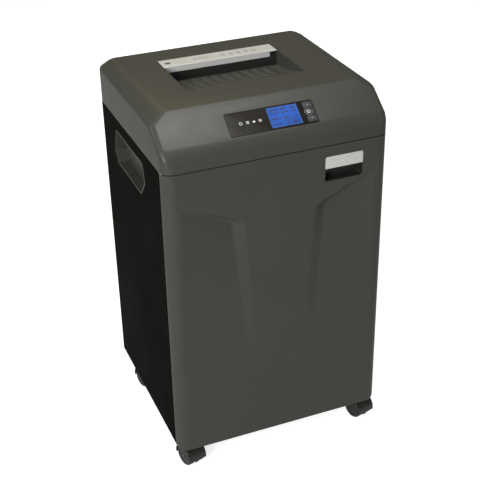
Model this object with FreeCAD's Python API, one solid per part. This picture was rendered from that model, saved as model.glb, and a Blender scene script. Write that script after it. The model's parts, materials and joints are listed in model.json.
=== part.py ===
"""Floor-standing office paper shredder: a tall cabinet on twin-wheel casters with a hinged
front door, a pull-out waste bin, and a shredding head with a cutter block and geared motor.

Frame: origin on the floor under the middle of the cabinet, +Z up, front towards -Y,
+X to the right of someone facing the front. Millimetres.
"""

import FreeCAD
import Part
import math
import os

V = FreeCAD.Vector

# ---- driving dimensions -------------------------------------------------------------
WIDTH = 485.0  # over the side panels
DEPTH = 417.0  # door face to rear panel
HEIGHT = 826.0  # floor to the top of the head
CORNER_R = 26.0  # plan radius of the two front corners
DOOR_Z = 60.0  # floor to the bottom of the door
BASE_Z = 70.0  # floor to the underside of the cabinet
SEAM_Z = 732.0  # where the head meets the cabinet
SLOPE_Z = 762.0  # lower edge of the sloped control face
SLOPE_RUN = 88.0  # how far the sloped face leans back
CHAMFER_X = 28.0  # side chamfer of the head, across
CHAMFER_Z = 15.0  # side chamfer of the head, down
DOOR_DEPTH = 26.5
DOOR_GAP = 2.0  # door to cabinet
TOP_GAP = 2.5  # door to head
SKIN = 3.0  # moulded wall
BOARD = 12.0  # side panel
REAR_T = 8.0  # rear panel

# recess in the top and the paper path
RECESS_HALF = 130.0
RECESS_FRONT = -38.7
RECESS_BACK = 145.4
THROAT_FRONT = 88.0
THROAT_BACK = 104.0
RAMP_LOW_Z = 798.0
NIP_Z = 716.0
NIP_HALF_GAP = 3.5
GROOVE_PITCH = 23.0
GROOVES = 10

# cutter block and gear train
SHAFT_Z = 690.0
NIP_Y = 96.0
SHAFT_HALF = 19.0  # half the distance between the cutter shafts
DISC_R = 24.0
CORE_R = 13.0
JOURNAL_R = 9.0
DISC_T = 3.9
DISC_PITCH = 8.0
DISCS = 32
CORE_HALF = 134.0
PLATE_X = 138.0  # inner face of the cutter side plates
PLATE_T = 5.0
RUNNING = 0.06  # radial clearance of a running fit
CUT_MODULE = 2.0
MOTOR_MODULE = 1.5
SYNC_TEETH = 19
FINAL_TEETH = 36
PINION_TEETH = 12
WHEEL_TEETH = 48

# casters
CASTER_X = 210.0
CASTER_Y = 156.0
WHEEL_R = 25.0
TRAIL = 20.0
CASTER_TURN = 13.5  # degrees that the parked casters are swung about their stems
AXLE_R = 3.0
STEM_R = 5.0

# door hinge
HINGE_X = -236.5
HINGE_Y = -187.5
HINGE_PIN_R = 2.5
HEEL_R = 6.0  # rounding of the door's hinge edge about the pin
BUSH_R = 4.5
BUSH_L = 14.0
LOW_BUSH_Z = 72.0

# ---- derived ------------------------------------------------------------------------
HALF = WIDTH / 2
FRONT = -DEPTH / 2
BACK = DEPTH / 2
SLOPE_TOP_Y = FRONT + SLOPE_RUN
SLOPE_ANGLE = math.atan2(HEIGHT - SLOPE_Z, SLOPE_RUN)
DOOR_BACK = FRONT + DOOR_DEPTH
CAB_FRONT = DOOR_BACK + DOOR_GAP
DOOR_TOP = SEAM_Z - TOP_GAP
INNER_X = HALF - BOARD
DECK_Z = 612.0
DECK_T = 3.0
BASE_T = 16.0
Y_A = NIP_Y - SHAFT_HALF  # front cutter shaft
Y_B = NIP_Y + SHAFT_HALF  # rear cutter shaft
FINAL_R = CUT_MODULE * FINAL_TEETH / 2
PINION_R = CUT_MODULE * PINION_TEETH / 2
Y_C = Y_A - FINAL_R - PINION_R  # intermediate gear
Y_M = Y_C - MOTOR_MODULE * (WHEEL_TEETH + PINION_TEETH) / 2  # motor

PARTS = {}


# ---- helpers ------------------------------------------------------------------------
def box(x0, x1, y0, y1, z0, z1):
    return Part.makeBox(x1 - x0, y1 - y0, z1 - z0, V(x0, y0, z0))


def rod(radius, start, length, axis):
    return Part.makeCylinder(radius, length, V(*start), V(*axis))


def ring(outer, inner, start, length, axis):
    return rod(outer, start, length, axis).cut(rod(inner, start, length, axis))


def polygon(points):
    vectors = [V(*p) for p in points]
    return Part.Face(Part.makePolygon(vectors + vectors[:1]))


def along_x(yz, x0, x1):
    """A prism with its outline in YZ."""
    return polygon([(x0, y, z) for y, z in yz]).extrude(V(x1 - x0, 0, 0))


def along_y(xz, y0, y1):
    """A prism with its outline in XZ."""
    return polygon([(x, y0, z) for x, z in xz]).extrude(V(0, y1 - y0, 0))


def fuse(shapes):
    return shapes[0].multiFuse(shapes[1:]).removeSplitter()


def group(solids):
    return Part.makeCompound(solids)


def mirror_x(shape):
    return shape.mirror(V(0, 0, 0), V(1, 0, 0))


def edges_where(shape, test):
    return [e for e in shape.Edges if test(e.BoundBox)]


def near(value, target, within=0.05):
    return abs(value - target) < within


def vertical_edges(shape, x, y, within=0.5):
    """The edges along Z that stand at one place in plan."""
    return edges_where(
        shape,
        lambda b: b.ZLength > 5 and b.XLength < within and b.YLength < within
        and near(b.Center.x, x, within) and near(b.Center.y, y, within),
    )


def rounded_box(x0, x1, y0, y1, z0, z1, radius, axis="Z"):
    """A box with its four edges along one axis rounded."""
    shape = box(x0, x1, y0, y1, z0, z1)
    length = {"X": "XLength", "Y": "YLength", "Z": "ZLength"}[axis]
    others = [n for n in ("XLength", "YLength", "ZLength") if n != length]
    picked = edges_where(shape, lambda b: all(getattr(b, n) < 0.01 for n in others))
    return shape.makeFillet(radius, picked)


def keep(name, shape):
    PARTS[name] = shape


# ---- cabinet ------------------------------------------------------------------------
HANDLE_OUTLINE = [(109, 703.5), (127, 647.5), (108, 624), (-54, 624), (-86, 662), (-77, 703.5)]
HANDLE_ROUNDS = 9.0
HANDLE_DEPTH = 26.0
HANDLE_WALL = 3.0


def handle_prism(inset, x0, x1):
    """The carrying handle's rounded outline as a prism, drawn in by inset."""
    wire = Part.makePolygon([V(x0, y, z) for y, z in HANDLE_OUTLINE + HANDLE_OUTLINE[:1]])
    shape = Part.Face(wire).extrude(V(x1 - x0, 0, 0))
    shape = shape.makeFillet(HANDLE_ROUNDS, edges_where(shape, lambda b: b.YLength < 0.01 and b.ZLength < 0.01))
    if inset == 0:
        return shape
    end = [f for f in shape.Faces if near(f.CenterOfMass.x, x0)][0]
    inner = end.OuterWire.makeOffset2D(-inset)
    return Part.Face(inner).extrude(V(x1 - x0, 0, 0))


def side_panel():
    panel = box(-HALF, -INNER_X, CAB_FRONT, BACK, BASE_Z, SEAM_Z)
    return panel.cut(handle_prism(0, -HALF - 1, -INNER_X + 1))


def handle_cup():
    outer = handle_prism(0, -HALF, -HALF + HANDLE_DEPTH)
    hollow = handle_prism(HANDLE_WALL, -HALF - 1, -HALF + HANDLE_DEPTH - HANDLE_WALL)
    lip = edges_where(outer, lambda b: near(b.XMin, -HALF) and near(b.XMax, -HALF))
    return outer.makeFillet(1.0, lip).cut(hollow)


CASTER_POINTS = [(sx * CASTER_X, sy * CASTER_Y) for sx in (-1, 1) for sy in (-1, 1)]
BASE_FRONT = CAB_FRONT + 2.0
SOCKET_DEPTH = 14.0


def base_panel():
    panel = box(-INNER_X, INNER_X, BASE_FRONT, BACK - REAR_T, BASE_Z, BASE_Z + BASE_T)
    for x, y in CASTER_POINTS:
        panel = panel.cut(rod(STEM_R + RUNNING, (x, y, BASE_Z), SOCKET_DEPTH, (0, 0, 1)))
    return panel


INLET_X, INLET_Z = -150.0, 690.0
INLET_W, INLET_H = 30.0, 24.0
ROCKER_X = -95.0
ROCKER_W, ROCKER_H = 15.0, 22.0
VENT_SLOTS = 12
VENT_PITCH = 14.0
VENT_X = 20.0
SCREW_R = 4.0
SCREW_HEAD = 2.0
SCREW_PLACES = [(x, z) for x in (-218.0, 0.0, 218.0) for z in (84.0, 300.0, 520.0, 718.0)]


def rear_panel():
    panel = box(-INNER_X, INNER_X, BACK - REAR_T, BACK, BASE_Z, SEAM_Z)
    cuts = [box(INLET_X - INLET_W / 2, INLET_X + INLET_W / 2, BACK - REAR_T, BACK,
                INLET_Z - INLET_H / 2, INLET_Z + INLET_H / 2),
            box(ROCKER_X - ROCKER_W / 2, ROCKER_X + ROCKER_W / 2, BACK - REAR_T, BACK,
                INLET_Z - ROCKER_H / 2, INLET_Z + ROCKER_H / 2)]
    for row_z in (634.0, 684.0):
        for i in range(VENT_SLOTS):
            x = VENT_X + i * VENT_PITCH
            cuts.append(box(x, x + 5, BACK - REAR_T, BACK, row_z, row_z + 38))
    for x, z in SCREW_PLACES:
        cuts.append(rod(SCREW_R, (x, BACK - SCREW_HEAD, z), SCREW_HEAD, (0, 1, 0)))
    return panel.cut(group(cuts))


def panel_screws():
    heads = []
    for x, z in SCREW_PLACES:
        head = rod(SCREW_R, (x, BACK - SCREW_HEAD, z), SCREW_HEAD - 0.3, (0, 1, 0))
        cross = fuse([box(x - 2.4, x + 2.4, BACK - 1.6, BACK, z - 0.5, z + 0.5),
                      box(x - 0.5, x + 0.5, BACK - 1.6, BACK, z - 2.4, z + 2.4)])
        heads.append(head.cut(cross))
    return group(heads)


DROP_HALF_X = 132.0
DROP_Y0, DROP_Y1 = 58.0, 134.0


def deck_plate():
    """Folded steel shelf that carries the cutter block, open above the bin."""
    plate = box(-INNER_X, INNER_X, CAB_FRONT + 4, BACK - REAR_T, DECK_Z, DECK_Z + DECK_T)
    plate = plate.cut(box(-DROP_HALF_X, DROP_HALF_X, DROP_Y0, DROP_Y1, DECK_Z, DECK_Z + DECK_T))
    return plate


def front_crossbar():
    """Steel channel under the front of the head, open to the rear, with a hole for the catch."""
    outer = box(-INNER_X, INNER_X, CAB_FRONT, CAB_FRONT + 26, 702, SEAM_Z - 1.6)
    channel = outer.cut(box(-INNER_X, INNER_X, CAB_FRONT + 2, CAB_FRONT + 26, 704, SEAM_Z - 3.6))
    return channel.cut(box(LATCH_X - 14, LATCH_X + 14, CAB_FRONT, CAB_FRONT + 2, 709, 723))


def hinge_brackets():
    """Two steel tabs with the fixed pins that the door swings on."""
    reach = 5.5
    top = box(HINGE_X - reach, -214, HINGE_Y - reach, CAB_FRONT, SEAM_Z - 1.6, SEAM_Z - 0.2)
    top_foot = box(-INNER_X, -214, CAB_FRONT, CAB_FRONT + 26, SEAM_Z - 1.6, SEAM_Z - 0.2)
    top_pin = rod(HINGE_PIN_R, (HINGE_X, HINGE_Y, DOOR_TOP - 12), SEAM_Z - 1 - DOOR_TOP + 12, (0, 0, 1))
    arm = box(HINGE_X - reach, HINGE_X + reach, HINGE_Y - reach, CAB_FRONT + 1, BASE_Z - 2, BASE_Z)
    foot = box(HINGE_X - reach, -221, CAB_FRONT + 1, CAB_FRONT + 30, BASE_Z - 2, BASE_Z)
    low_pin = rod(HINGE_PIN_R, (HINGE_X, HINGE_Y, BASE_Z - 1), LOW_BUSH_Z + BUSH_L - 1 - BASE_Z, (0, 0, 1))
    return group([fuse([top, top_foot, top_pin]), fuse([arm, foot, low_pin])])


BIN_X, BIN_Y0, BIN_Y1 = 205.0, -168.0, 190.0
BIN_Z0, BIN_Z1 = 90.0, 598.0
BIN_WALL = 2.5
BIN_DRAFT = 14.0
BIN_R = 26.0


def plan_wire(x, y0, y1, z, radius):
    face = rounded_box(-x, x, y0, y1, z, z + 10, radius)
    return [f for f in face.Faces if near(f.CenterOfMass.z, z)][0].OuterWire


def waste_bin():
    """Tapered plastic bin with a rolled rim and a finger slot in its front wall."""
    outer = Part.makeLoft([plan_wire(BIN_X - BIN_DRAFT, BIN_Y0 + BIN_DRAFT, BIN_Y1 - BIN_DRAFT, BIN_Z0, BIN_R),
                           plan_wire(BIN_X - 6, BIN_Y0 + 6, BIN_Y1 - 6, BIN_Z1, BIN_R)], True, True)
    inset = BIN_WALL
    inner = Part.makeLoft([
        plan_wire(BIN_X - BIN_DRAFT - inset, BIN_Y0 + BIN_DRAFT + inset, BIN_Y1 - BIN_DRAFT - inset,
                  BIN_Z0 + inset, BIN_R - inset),
        plan_wire(BIN_X - 6 - inset, BIN_Y0 + 6 + inset, BIN_Y1 - 6 - inset, BIN_Z1, BIN_R - inset)], True, True)
    rim = rounded_box(-BIN_X, BIN_X, BIN_Y0, BIN_Y1, BIN_Z1 - 3, BIN_Z1, BIN_R)
    grip = rounded_box(-60, 60, BIN_Y0 - 5, BIN_Y0 + 40, BIN_Z1 - 52, BIN_Z1 - 22, 14, "Y")
    return outer.fuse(rim).cut(inner).cut(grip).removeSplitter()


RAIL_X = 150.0


def bin_rails():
    rails = [box(s * RAIL_X - 12, s * RAIL_X + 12, BASE_FRONT + 6, BACK - REAR_T - 6, BASE_Z + BASE_T, BIN_Z0)
             for s in (-1, 1)]
    return group(rails)


LATCH_X = 205.0


def magnet_catch():
    """Magnetic catch in the channel, with its nose through to the door."""
    body = box(LATCH_X - 20, LATCH_X + 20, CAB_FRONT + 2, CAB_FRONT + 18, 707, 725)
    nose = box(LATCH_X - 14, LATCH_X + 14, CAB_FRONT - 1.5, CAB_FRONT + 2, 709, 723)
    return fuse([body, nose])


def reed_switch():
    return rounded_box(LATCH_X - 60, LATCH_X - 34, CAB_FRONT + 2, CAB_FRONT + 10, 709, 721, 2, "Y")


def bin_full_sensor():
    """Infrared emitter and receiver that look across the bin just under the deck."""
    eyes = [box(s * 190 - 9, s * 190 + 9, 60, 84, DECK_Z - 11, DECK_Z) for s in (-1, 1)]
    lenses = [rod(3, (s * 181, 72, DECK_Z - 6), 2, (-s, 0, 0)) for s in (-1, 1)]
    return group(eyes + lenses)


# ---- door ---------------------------------------------------------------------------
DOOR_BOTTOM_R = 20.0
SCULPT = {  # corners of the hollow as X from the middle, Z, and depth behind the door face
    "outer": (208.0, 655.0, 0.0),
    "ridge_top": (77.5, 600.0, 0.0),
    "ridge_end": (55.0, 300.0, 0.0),
    "foot": (196.0, 270.0, 0.0),
    "valley_top": (102.0, 602.0, 11.0),
    "valley_mid": (84.0, 385.0, 4.0),
}
SCULPT_FACES = [("outer", "ridge_top", "valley_top"), ("ridge_top", "valley_mid", "valley_top"),
                ("ridge_top", "ridge_end", "valley_mid"), ("ridge_end", "foot", "valley_mid"),
                ("outer", "valley_top", "valley_mid"), ("outer", "valley_mid", "foot")]
HANDLE_X0, HANDLE_X1 = 98.2, 182.8
POCKET_Z0, POCKET_Z1 = 652.0, 706.5
PLATE_Z0 = 680.0
POCKET_R = 5.0


def sculpt_hollow(side, backing=False):
    """The faceted hollow pressed into the door beside its middle; backing is the same form behind the skin."""
    shift = SKIN if backing else -0.01
    spread = 1.03 if backing else 1.0
    mid_x = sum(x for x, z, d in SCULPT.values()) / len(SCULPT)
    mid_z = sum(z for x, z, d in SCULPT.values()) / len(SCULPT)
    at = {name: V(side * (mid_x + (x - mid_x) * spread), FRONT + d + shift, mid_z + (z - mid_z) * spread)
          for name, (x, z, d) in SCULPT.items()}
    rim = ("outer", "ridge_top", "ridge_end", "foot")
    faces = [polygon([at[n] for n in names]) for names in SCULPT_FACES + [rim]]
    solid = Part.makeSolid(Part.makeShell(faces))
    if solid.Volume < 0:
        solid.reverse()
    return solid


def door_form(inset):
    """The door's outside, drawn in by inset all round."""
    x, y0 = HALF - inset, FRONT + inset
    shape = box(-x, x, y0, DOOR_BACK, DOOR_Z + inset, DOOR_TOP - inset)
    corners = vertical_edges(shape, -x, y0) + vertical_edges(shape, x, y0)
    shape = shape.makeFillet(CORNER_R - inset, corners)
    view = box(-x, x, y0 - 1, DOOR_BACK + 1, DOOR_Z + inset, DOOR_TOP + 40)
    low = edges_where(view, lambda b: b.YLength > 5 and near(b.Center.z, DOOR_Z + inset))
    return shape.common(view.makeFillet(DOOR_BOTTOM_R - inset, low))


def door_shell():
    outer = door_form(0)
    for side in (-1, 1):
        outer = outer.cut(sculpt_hollow(side))
    cavity = door_form(SKIN)
    for side in (-1, 1):
        cavity = cavity.cut(sculpt_hollow(side, True))
    for z0, z1 in ((DOOR_Z, LOW_BUSH_Z + BUSH_L + 2), (DOOR_TOP - BUSH_L - 2, DOOR_TOP)):
        cavity = cavity.cut(box(-HALF, -226, FRONT, DOOR_BACK, z0, z1))
    shell = outer.cut(cavity)
    shell = shell.cut(rounded_box(HANDLE_X0, HANDLE_X1, FRONT - 1, FRONT + SKIN + 1,
                                  POCKET_Z0, POCKET_Z1, POCKET_R, "Y"))
    height = DOOR_TOP - DOOR_Z
    heel = box(-HALF, HINGE_X, HINGE_Y, DOOR_BACK, DOOR_Z, DOOR_TOP)
    shell = shell.cut(heel.cut(rod(HEEL_R, (HINGE_X, HINGE_Y, DOOR_Z), height, (0, 0, 1))))
    shell = shell.cut(box(-HALF, HINGE_X + 8, HINGE_Y - 8, DOOR_BACK, DOOR_Z, LOW_BUSH_Z))
    for z in (LOW_BUSH_Z, DOOR_TOP - BUSH_L):
        shell = shell.cut(rod(BUSH_R, (HINGE_X, HINGE_Y, z), BUSH_L, (0, 0, 1)))
    return shell


def hinge_bushes():
    return group([ring(BUSH_R, HINGE_PIN_R + RUNNING, (HINGE_X, HINGE_Y, z), BUSH_L, (0, 0, 1))
                  for z in (LOW_BUSH_Z, DOOR_TOP - BUSH_L)])


def door_inner_panel():
    panel = door_form(SKIN + 0.2).common(box(-225.5, HALF, DOOR_BACK - 2.5, DOOR_BACK, DOOR_Z, DOOR_TOP))
    return panel.cut(rod(10, (LATCH_X, DOOR_BACK - 1, 716), 1, (0, 1, 0)))


def handle_pocket():
    """Finger cup behind the opening in the door's skin."""
    y0, y1 = FRONT + SKIN, DOOR_BACK - 2.6
    wall = 2.0
    outer = rounded_box(HANDLE_X0 - wall, HANDLE_X1 + wall, y0, y1, POCKET_Z0 - wall, POCKET_Z1 + wall,
                        POCKET_R + wall, "Y")
    inner = rounded_box(HANDLE_X0, HANDLE_X1, y0, y1 - wall, POCKET_Z0, POCKET_Z1, POCKET_R, "Y")
    return outer.cut(inner).cut(sculpt_hollow(1, True))


def handle_plate():
    """Silver pull plate over the top half of the finger cup."""
    plate = rounded_box(HANDLE_X0, HANDLE_X1, FRONT - 0.0, FRONT + 2.8, POCKET_Z0, POCKET_Z1, POCKET_R, "Y")
    plate = plate.common(box(HANDLE_X0, HANDLE_X1, FRONT - 1, FRONT + 5, PLATE_Z0, POCKET_Z1))
    face = edges_where(plate, lambda b: near(b.YMin, FRONT) and near(b.YMax, FRONT))
    return plate.makeFillet(0.8, face)


def strike_and_magnet():
    """Steel disc that the catch holds, and the magnet that the door sensor reads."""
    return group([rod(10, (LATCH_X, DOOR_BACK - 1, 716), 1, (0, 1, 0)),
                  rod(5, (LATCH_X - 47, DOOR_BACK - 5.5, 715), 3, (0, 1, 0))])


# ---- head ---------------------------------------------------------------------------
def offset_convex(points, d):
    """A convex outline, given counter-clockwise, with every side moved in by d."""
    n = len(points)
    lines = []
    for i in range(n):
        (x0, y0), (x1, y1) = points[i], points[(i + 1) % n]
        length = math.hypot(x1 - x0, y1 - y0)
        nx, ny = -(y1 - y0) / length, (x1 - x0) / length
        lines.append((nx, ny, nx * x0 + ny * y0 + d))
    corners = []
    for i in range(n):
        a, b = lines[i - 1], lines[i]
        det = a[0] * b[1] - a[1] * b[0]
        corners.append(((a[2] * b[1] - a[1] * b[2]) / det, (a[0] * b[2] - a[2] * b[0]) / det))
    return corners


def head_form(inset, floor_z):
    """The head's outside as three crossed prisms, drawn in by inset above floor_z."""
    side = [(FRONT, floor_z), (BACK, floor_z), (BACK, HEIGHT), (SLOPE_TOP_Y, HEIGHT), (FRONT, SLOPE_Z)]
    face = [(-HALF, floor_z), (HALF, floor_z), (HALF, HEIGHT - CHAMFER_Z), (HALF - CHAMFER_X, HEIGHT),
            (CHAMFER_X - HALF, HEIGHT), (-HALF, HEIGHT - CHAMFER_Z)]
    solid = along_x(offset_convex(side, inset), -HALF, HALF)
    solid = solid.common(along_y(offset_convex(face, inset), FRONT, BACK))
    x, y0, y1 = HALF - inset, FRONT + inset, BACK - inset
    plan = box(-x, x, y0, y1, floor_z - 1, HEIGHT + 1)
    front = vertical_edges(plan, -x, y0) + vertical_edges(plan, x, y0)
    plan = plan.makeFillet(CORNER_R - inset, front)
    return solid.common(plan)


SLOPE_CORNER_R = 14.0
PANEL_HALF = 94.0
PANEL_Y0, PANEL_Y1 = -83.8, -30.2
LCD_X0, LCD_X1 = -6.0, 59.5
LCD_Y0, LCD_Y1 = -79.3, -33.3
LENS_R = 4.0
PAD_X0, PAD_X1 = 71.5, 91.5
FORWARD_Y0, FORWARD_Y1 = -47.5, -34.6
REVERSE_Y0, REVERSE_Y1 = -78.6, -65.7
POWER_X, POWER_Y, POWER_R = 79.0, -56.6, 7.0
BUTTON_GAP = 0.35


def on_slope(shape):
    """Moves a shape drawn with X across, Y up the slope and Z outward onto the control face."""
    placed = shape.copy()
    placed.rotate(V(0, 0, 0), V(1, 0, 0), math.degrees(SLOPE_ANGLE))
    placed.translate(V(0, SLOPE_TOP_Y, HEIGHT))
    return placed


def head_outside():
    """The head's outside with the soft corners either side of the control face."""
    solid = head_form(0, SEAM_Z)
    low_y = FRONT + CORNER_R

    def is_slope_side(b):
        return (b.XLength > 10 and b.YLength > 10 and b.ZLength > 5 and abs(b.Center.x) > HALF - CHAMFER_X
                and b.Center.y < SLOPE_TOP_Y and b.YMin > low_y)

    return solid.makeFillet(SLOPE_CORNER_R, edges_where(solid, is_slope_side))


def head_cover():
    """Moulded cover with the sloped control face, open underneath and over the paper ramp."""
    shell = head_outside().cut(head_form(SKIN, SEAM_Z - 10))
    shell = shell.cut(box(-RECESS_HALF - 2.5, RECESS_HALF + 2.5, RECESS_FRONT, RECESS_BACK, HEIGHT - 8, HEIGHT + 1))
    window = rounded_box(-PANEL_HALF, PANEL_HALF, PANEL_Y0, PANEL_Y1, -6, 4, LENS_R)
    return shell.cut(on_slope(window))


def ramp_arc(drop):
    """The ramp's hollow curve in YZ, as three points, lowered by drop."""
    return [(RECESS_FRONT, HEIGHT - drop), (15.0, 809.5 - drop), (THROAT_FRONT, RAMP_LOW_Z - drop)]


def arc_edge(x, points):
    return Part.Arc(*[V(x, y, z) for y, z in points]).toShape()


def chain_edges(x, points):
    return [Part.makeLine(V(x, *a), V(x, *b)) for a, b in zip(points, points[1:])]


def yz_prism(x0, x1, arcs_and_lines):
    """A prism from a closed run of edges in YZ."""
    edges = [arc_edge(x0, p) if kind == "arc" else chain_edges(x0, p) for kind, p in arcs_and_lines]
    flat = [e for item in edges for e in (item if isinstance(item, list) else [item])]
    return Part.Face(Part.Wire(flat)).extrude(V(x1 - x0, 0, 0))


def arc_centre(points):
    """Centre and radius of the circle through three points."""
    (ax, ay), (bx, by), (cx, cy) = points
    d = 2 * (ax * (by - cy) + bx * (cy - ay) + cx * (ay - by))
    ux = ((ax**2 + ay**2) * (by - cy) + (bx**2 + by**2) * (cy - ay) + (cx**2 + cy**2) * (ay - by)) / d
    uy = ((ax**2 + ay**2) * (cx - bx) + (bx**2 + by**2) * (ax - cx) + (cx**2 + cy**2) * (bx - ax)) / d
    return ux, uy, math.hypot(ax - ux, ay - uy)


def paper_ramp():
    """Grooved ramp, the recess's end walls and the front wall of the paper chute, in one moulding."""
    top, under = ramp_arc(0), ramp_arc(SKIN)
    nip_front = NIP_Y - NIP_HALF_GAP
    sheet = yz_prism(-RECESS_HALF, RECESS_HALF, [
        ("arc", top),
        ("line", [top[2], (nip_front, NIP_Z), (nip_front - 2.5, NIP_Z), (THROAT_FRONT - 3.5, RAMP_LOW_Z - 6), under[2]]),
        ("arc", under[::-1]),
        ("line", [under[0], top[0]])])
    end = yz_prism(RECESS_HALF, RECESS_HALF + 2.5, [
        ("line", [(RECESS_FRONT, HEIGHT), (RECESS_BACK, HEIGHT), (RECESS_BACK, RAMP_LOW_Z - 6),
                  (THROAT_BACK + 6, RAMP_LOW_Z - 6), (THROAT_BACK + 6, NIP_Z), (nip_front - 2.5, NIP_Z),
                  (THROAT_FRONT - 3.5, RAMP_LOW_Z - 6), under[2]]),
        ("arc", under[::-1]),
        ("line", [under[0], (RECESS_FRONT, HEIGHT)])])
    body = fuse([sheet, end, mirror_x(end)])
    yc, zc, radius = arc_centre(top)
    cuts = []
    for i in range(GROOVES):
        x = (i - (GROOVES - 1) / 2) * GROOVE_PITCH
        vee = polygon([(x - 3.4, yc, zc - radius + 0.3), (x, yc, zc - radius - 1.9), (x + 3.4, yc, zc - radius + 0.3)])
        cuts.append(vee.revolve(V(x, yc, zc), V(1, 0, 0), 360))
    keep_in = box(-RECESS_HALF, RECESS_HALF, RECESS_FRONT - 1, THROAT_FRONT - 4, HEIGHT - 60, HEIGHT + 2)
    return body.cut(group(cuts).common(keep_in))


BAR_TOP_Z = HEIGHT - 0.5
BAR_LIP_Z = 812.0
BAR_LIP_X1 = 114.0


def label_bar():
    """Silver strip behind the slot, with a lip down its front."""
    top = box(-RECESS_HALF, RECESS_HALF, THROAT_BACK, RECESS_BACK, BAR_TOP_Z - 2.5, BAR_TOP_Z)
    lip = box(-RECESS_HALF, BAR_LIP_X1, THROAT_BACK, THROAT_BACK + 2.5, BAR_LIP_Z, BAR_TOP_Z)
    bar = fuse([top, lip])
    edge = edges_where(bar, lambda b: b.XLength > 100 and near(b.Center.y, THROAT_BACK) and near(b.Center.z, BAR_TOP_Z))
    return bar.makeFillet(0.8, edge)


def rear_chute():
    """Dark rear wall of the paper chute, under the silver strip."""
    nip_back = NIP_Y + NIP_HALF_GAP
    wall = along_x([(THROAT_BACK + 0.5, BAR_LIP_Z - 0.2), (THROAT_BACK + 0.5, RAMP_LOW_Z), (nip_back, NIP_Z),
                    (nip_back + 2.5, NIP_Z), (THROAT_BACK + 3, RAMP_LOW_Z), (THROAT_BACK + 3, BAR_LIP_Z - 0.2)],
                   -RECESS_HALF, RECESS_HALF)
    shelf = box(-RECESS_HALF, RECESS_HALF, THROAT_BACK + 3, RECESS_BACK, BAR_LIP_Z - 3, BAR_LIP_Z - 0.2)
    block = box(BAR_LIP_X1 + 0.5, RECESS_HALF, THROAT_BACK + 1.5, THROAT_BACK + 6, BAR_LIP_Z - 0.2, BAR_TOP_Z - 2.5)
    return fuse([wall, shelf, block])


def control_lens():
    """Glossy black panel with a window for the display and holes for the buttons."""
    lens = rounded_box(-PANEL_HALF, PANEL_HALF, PANEL_Y0, PANEL_Y1, -2.4, 0.4, LENS_R)
    lens = lens.makeFillet(0.35, edges_where(lens, lambda b: near(b.ZMin, 0.4) and near(b.ZMax, 0.4)))
    g = BUTTON_GAP
    cuts = [box(LCD_X0, LCD_X1, LCD_Y0, LCD_Y1, -3, 1),
            box(PAD_X0 - g, PAD_X1 + g, FORWARD_Y0 - g, FORWARD_Y1 + g, -3, 1),
            box(PAD_X0 - g, PAD_X1 + g, REVERSE_Y0 - g, REVERSE_Y1 + g, -3, 1),
            rod(POWER_R + g, (POWER_X, POWER_Y, -3), 4, (0, 0, 1))]
    return on_slope(lens.cut(group(cuts)))


def lcd_module():
    glass = box(LCD_X0, LCD_X1, LCD_Y0, LCD_Y1, -6.5, -0.4)
    frame = box(LCD_X0 - 4, LCD_X1 + 4, LCD_Y0 - 2, LCD_Y1 + 2, -8.5, -2.6)
    return on_slope(fuse([glass, frame]))


BUTTON_FACE = 0.9
BUTTON_FOOT = -9.0


def pad_button(y0, y1):
    cap = rounded_box(PAD_X0, PAD_X1, y0, y1, -2.2, BUTTON_FACE, 1.5)
    cap = cap.makeFillet(0.6, edges_where(cap, lambda b: near(b.ZMin, BUTTON_FACE) and near(b.ZMax, BUTTON_FACE)))
    stem = box((PAD_X0 + PAD_X1) / 2 - 2, (PAD_X0 + PAD_X1) / 2 + 2, (y0 + y1) / 2 - 2, (y0 + y1) / 2 + 2,
               BUTTON_FOOT, -2.2)
    return on_slope(fuse([cap, stem]))


def power_button():
    cap = rod(POWER_R, (POWER_X, POWER_Y, -2.2), 2.2 + BUTTON_FACE, (0, 0, 1))
    cap = cap.makeFillet(0.7, edges_where(cap, lambda b: near(b.ZMin, BUTTON_FACE) and near(b.ZMax, BUTTON_FACE)))
    stem = rod(2, (POWER_X, POWER_Y, BUTTON_FOOT), 6.8, (0, 0, 1))
    return on_slope(fuse([cap, stem]))


def control_board():
    board = box(-102, 102, PANEL_Y0 + 1, PANEL_Y1 - 1, -15.6, -14)
    posts = [rod(2.5, (x, y, -14), 14 - SKIN, (0, 0, 1)) for x in (-98, 98) for y in (-72, -42)]
    middle = (PAD_X0 + PAD_X1) / 2
    places = [(middle, (FORWARD_Y0 + FORWARD_Y1) / 2), (middle, (REVERSE_Y0 + REVERSE_Y1) / 2), (POWER_X, POWER_Y)]
    switches = [box(x - 3, x + 3, y - 3, y + 3, -14, -10.4) for x, y in places]
    holder = box(LCD_X0 - 2, LCD_X1 + 2, LCD_Y0, LCD_Y1, -14, -8.5)
    return on_slope(group([board, holder] + switches + posts))


# ---- cutter block -------------------------------------------------------------------
def cutter_rotor(y, discs, first_x, end_x, phase):
    """One cutter shaft turned from a bar: a core with discs, notched along its length."""
    outline = [(-150, 0), (-150, JOURNAL_R), (-CORE_HALF, JOURNAL_R), (-CORE_HALF, CORE_R)]
    for i in range(discs):
        x = first_x + i * DISC_PITCH
        outline += [(x - DISC_T / 2, CORE_R), (x - DISC_T / 2, DISC_R), (x + DISC_T / 2, DISC_R), (x + DISC_T / 2, CORE_R)]
    outline += [(CORE_HALF, CORE_R), (CORE_HALF, JOURNAL_R), (end_x, JOURNAL_R), (end_x, 0)]
    shaft = polygon([(x, y, SHAFT_Z + r) for x, r in outline]).revolve(V(0, y, SHAFT_Z), V(1, 0, 0), 360)
    notches = []
    for k in range(4):
        notch = along_x([(y - 1.5, SHAFT_Z + DISC_R + 1), (y + 6, SHAFT_Z + DISC_R + 1), (y - 1.5, SHAFT_Z + DISC_R - 6)],
                        -CORE_HALF + 2, CORE_HALF - 2)
        notch.rotate(V(0, y, SHAFT_Z), V(1, 0, 0), phase + 90 * k)
        notches.append(notch)
    return shaft.cut(group(notches))


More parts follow.
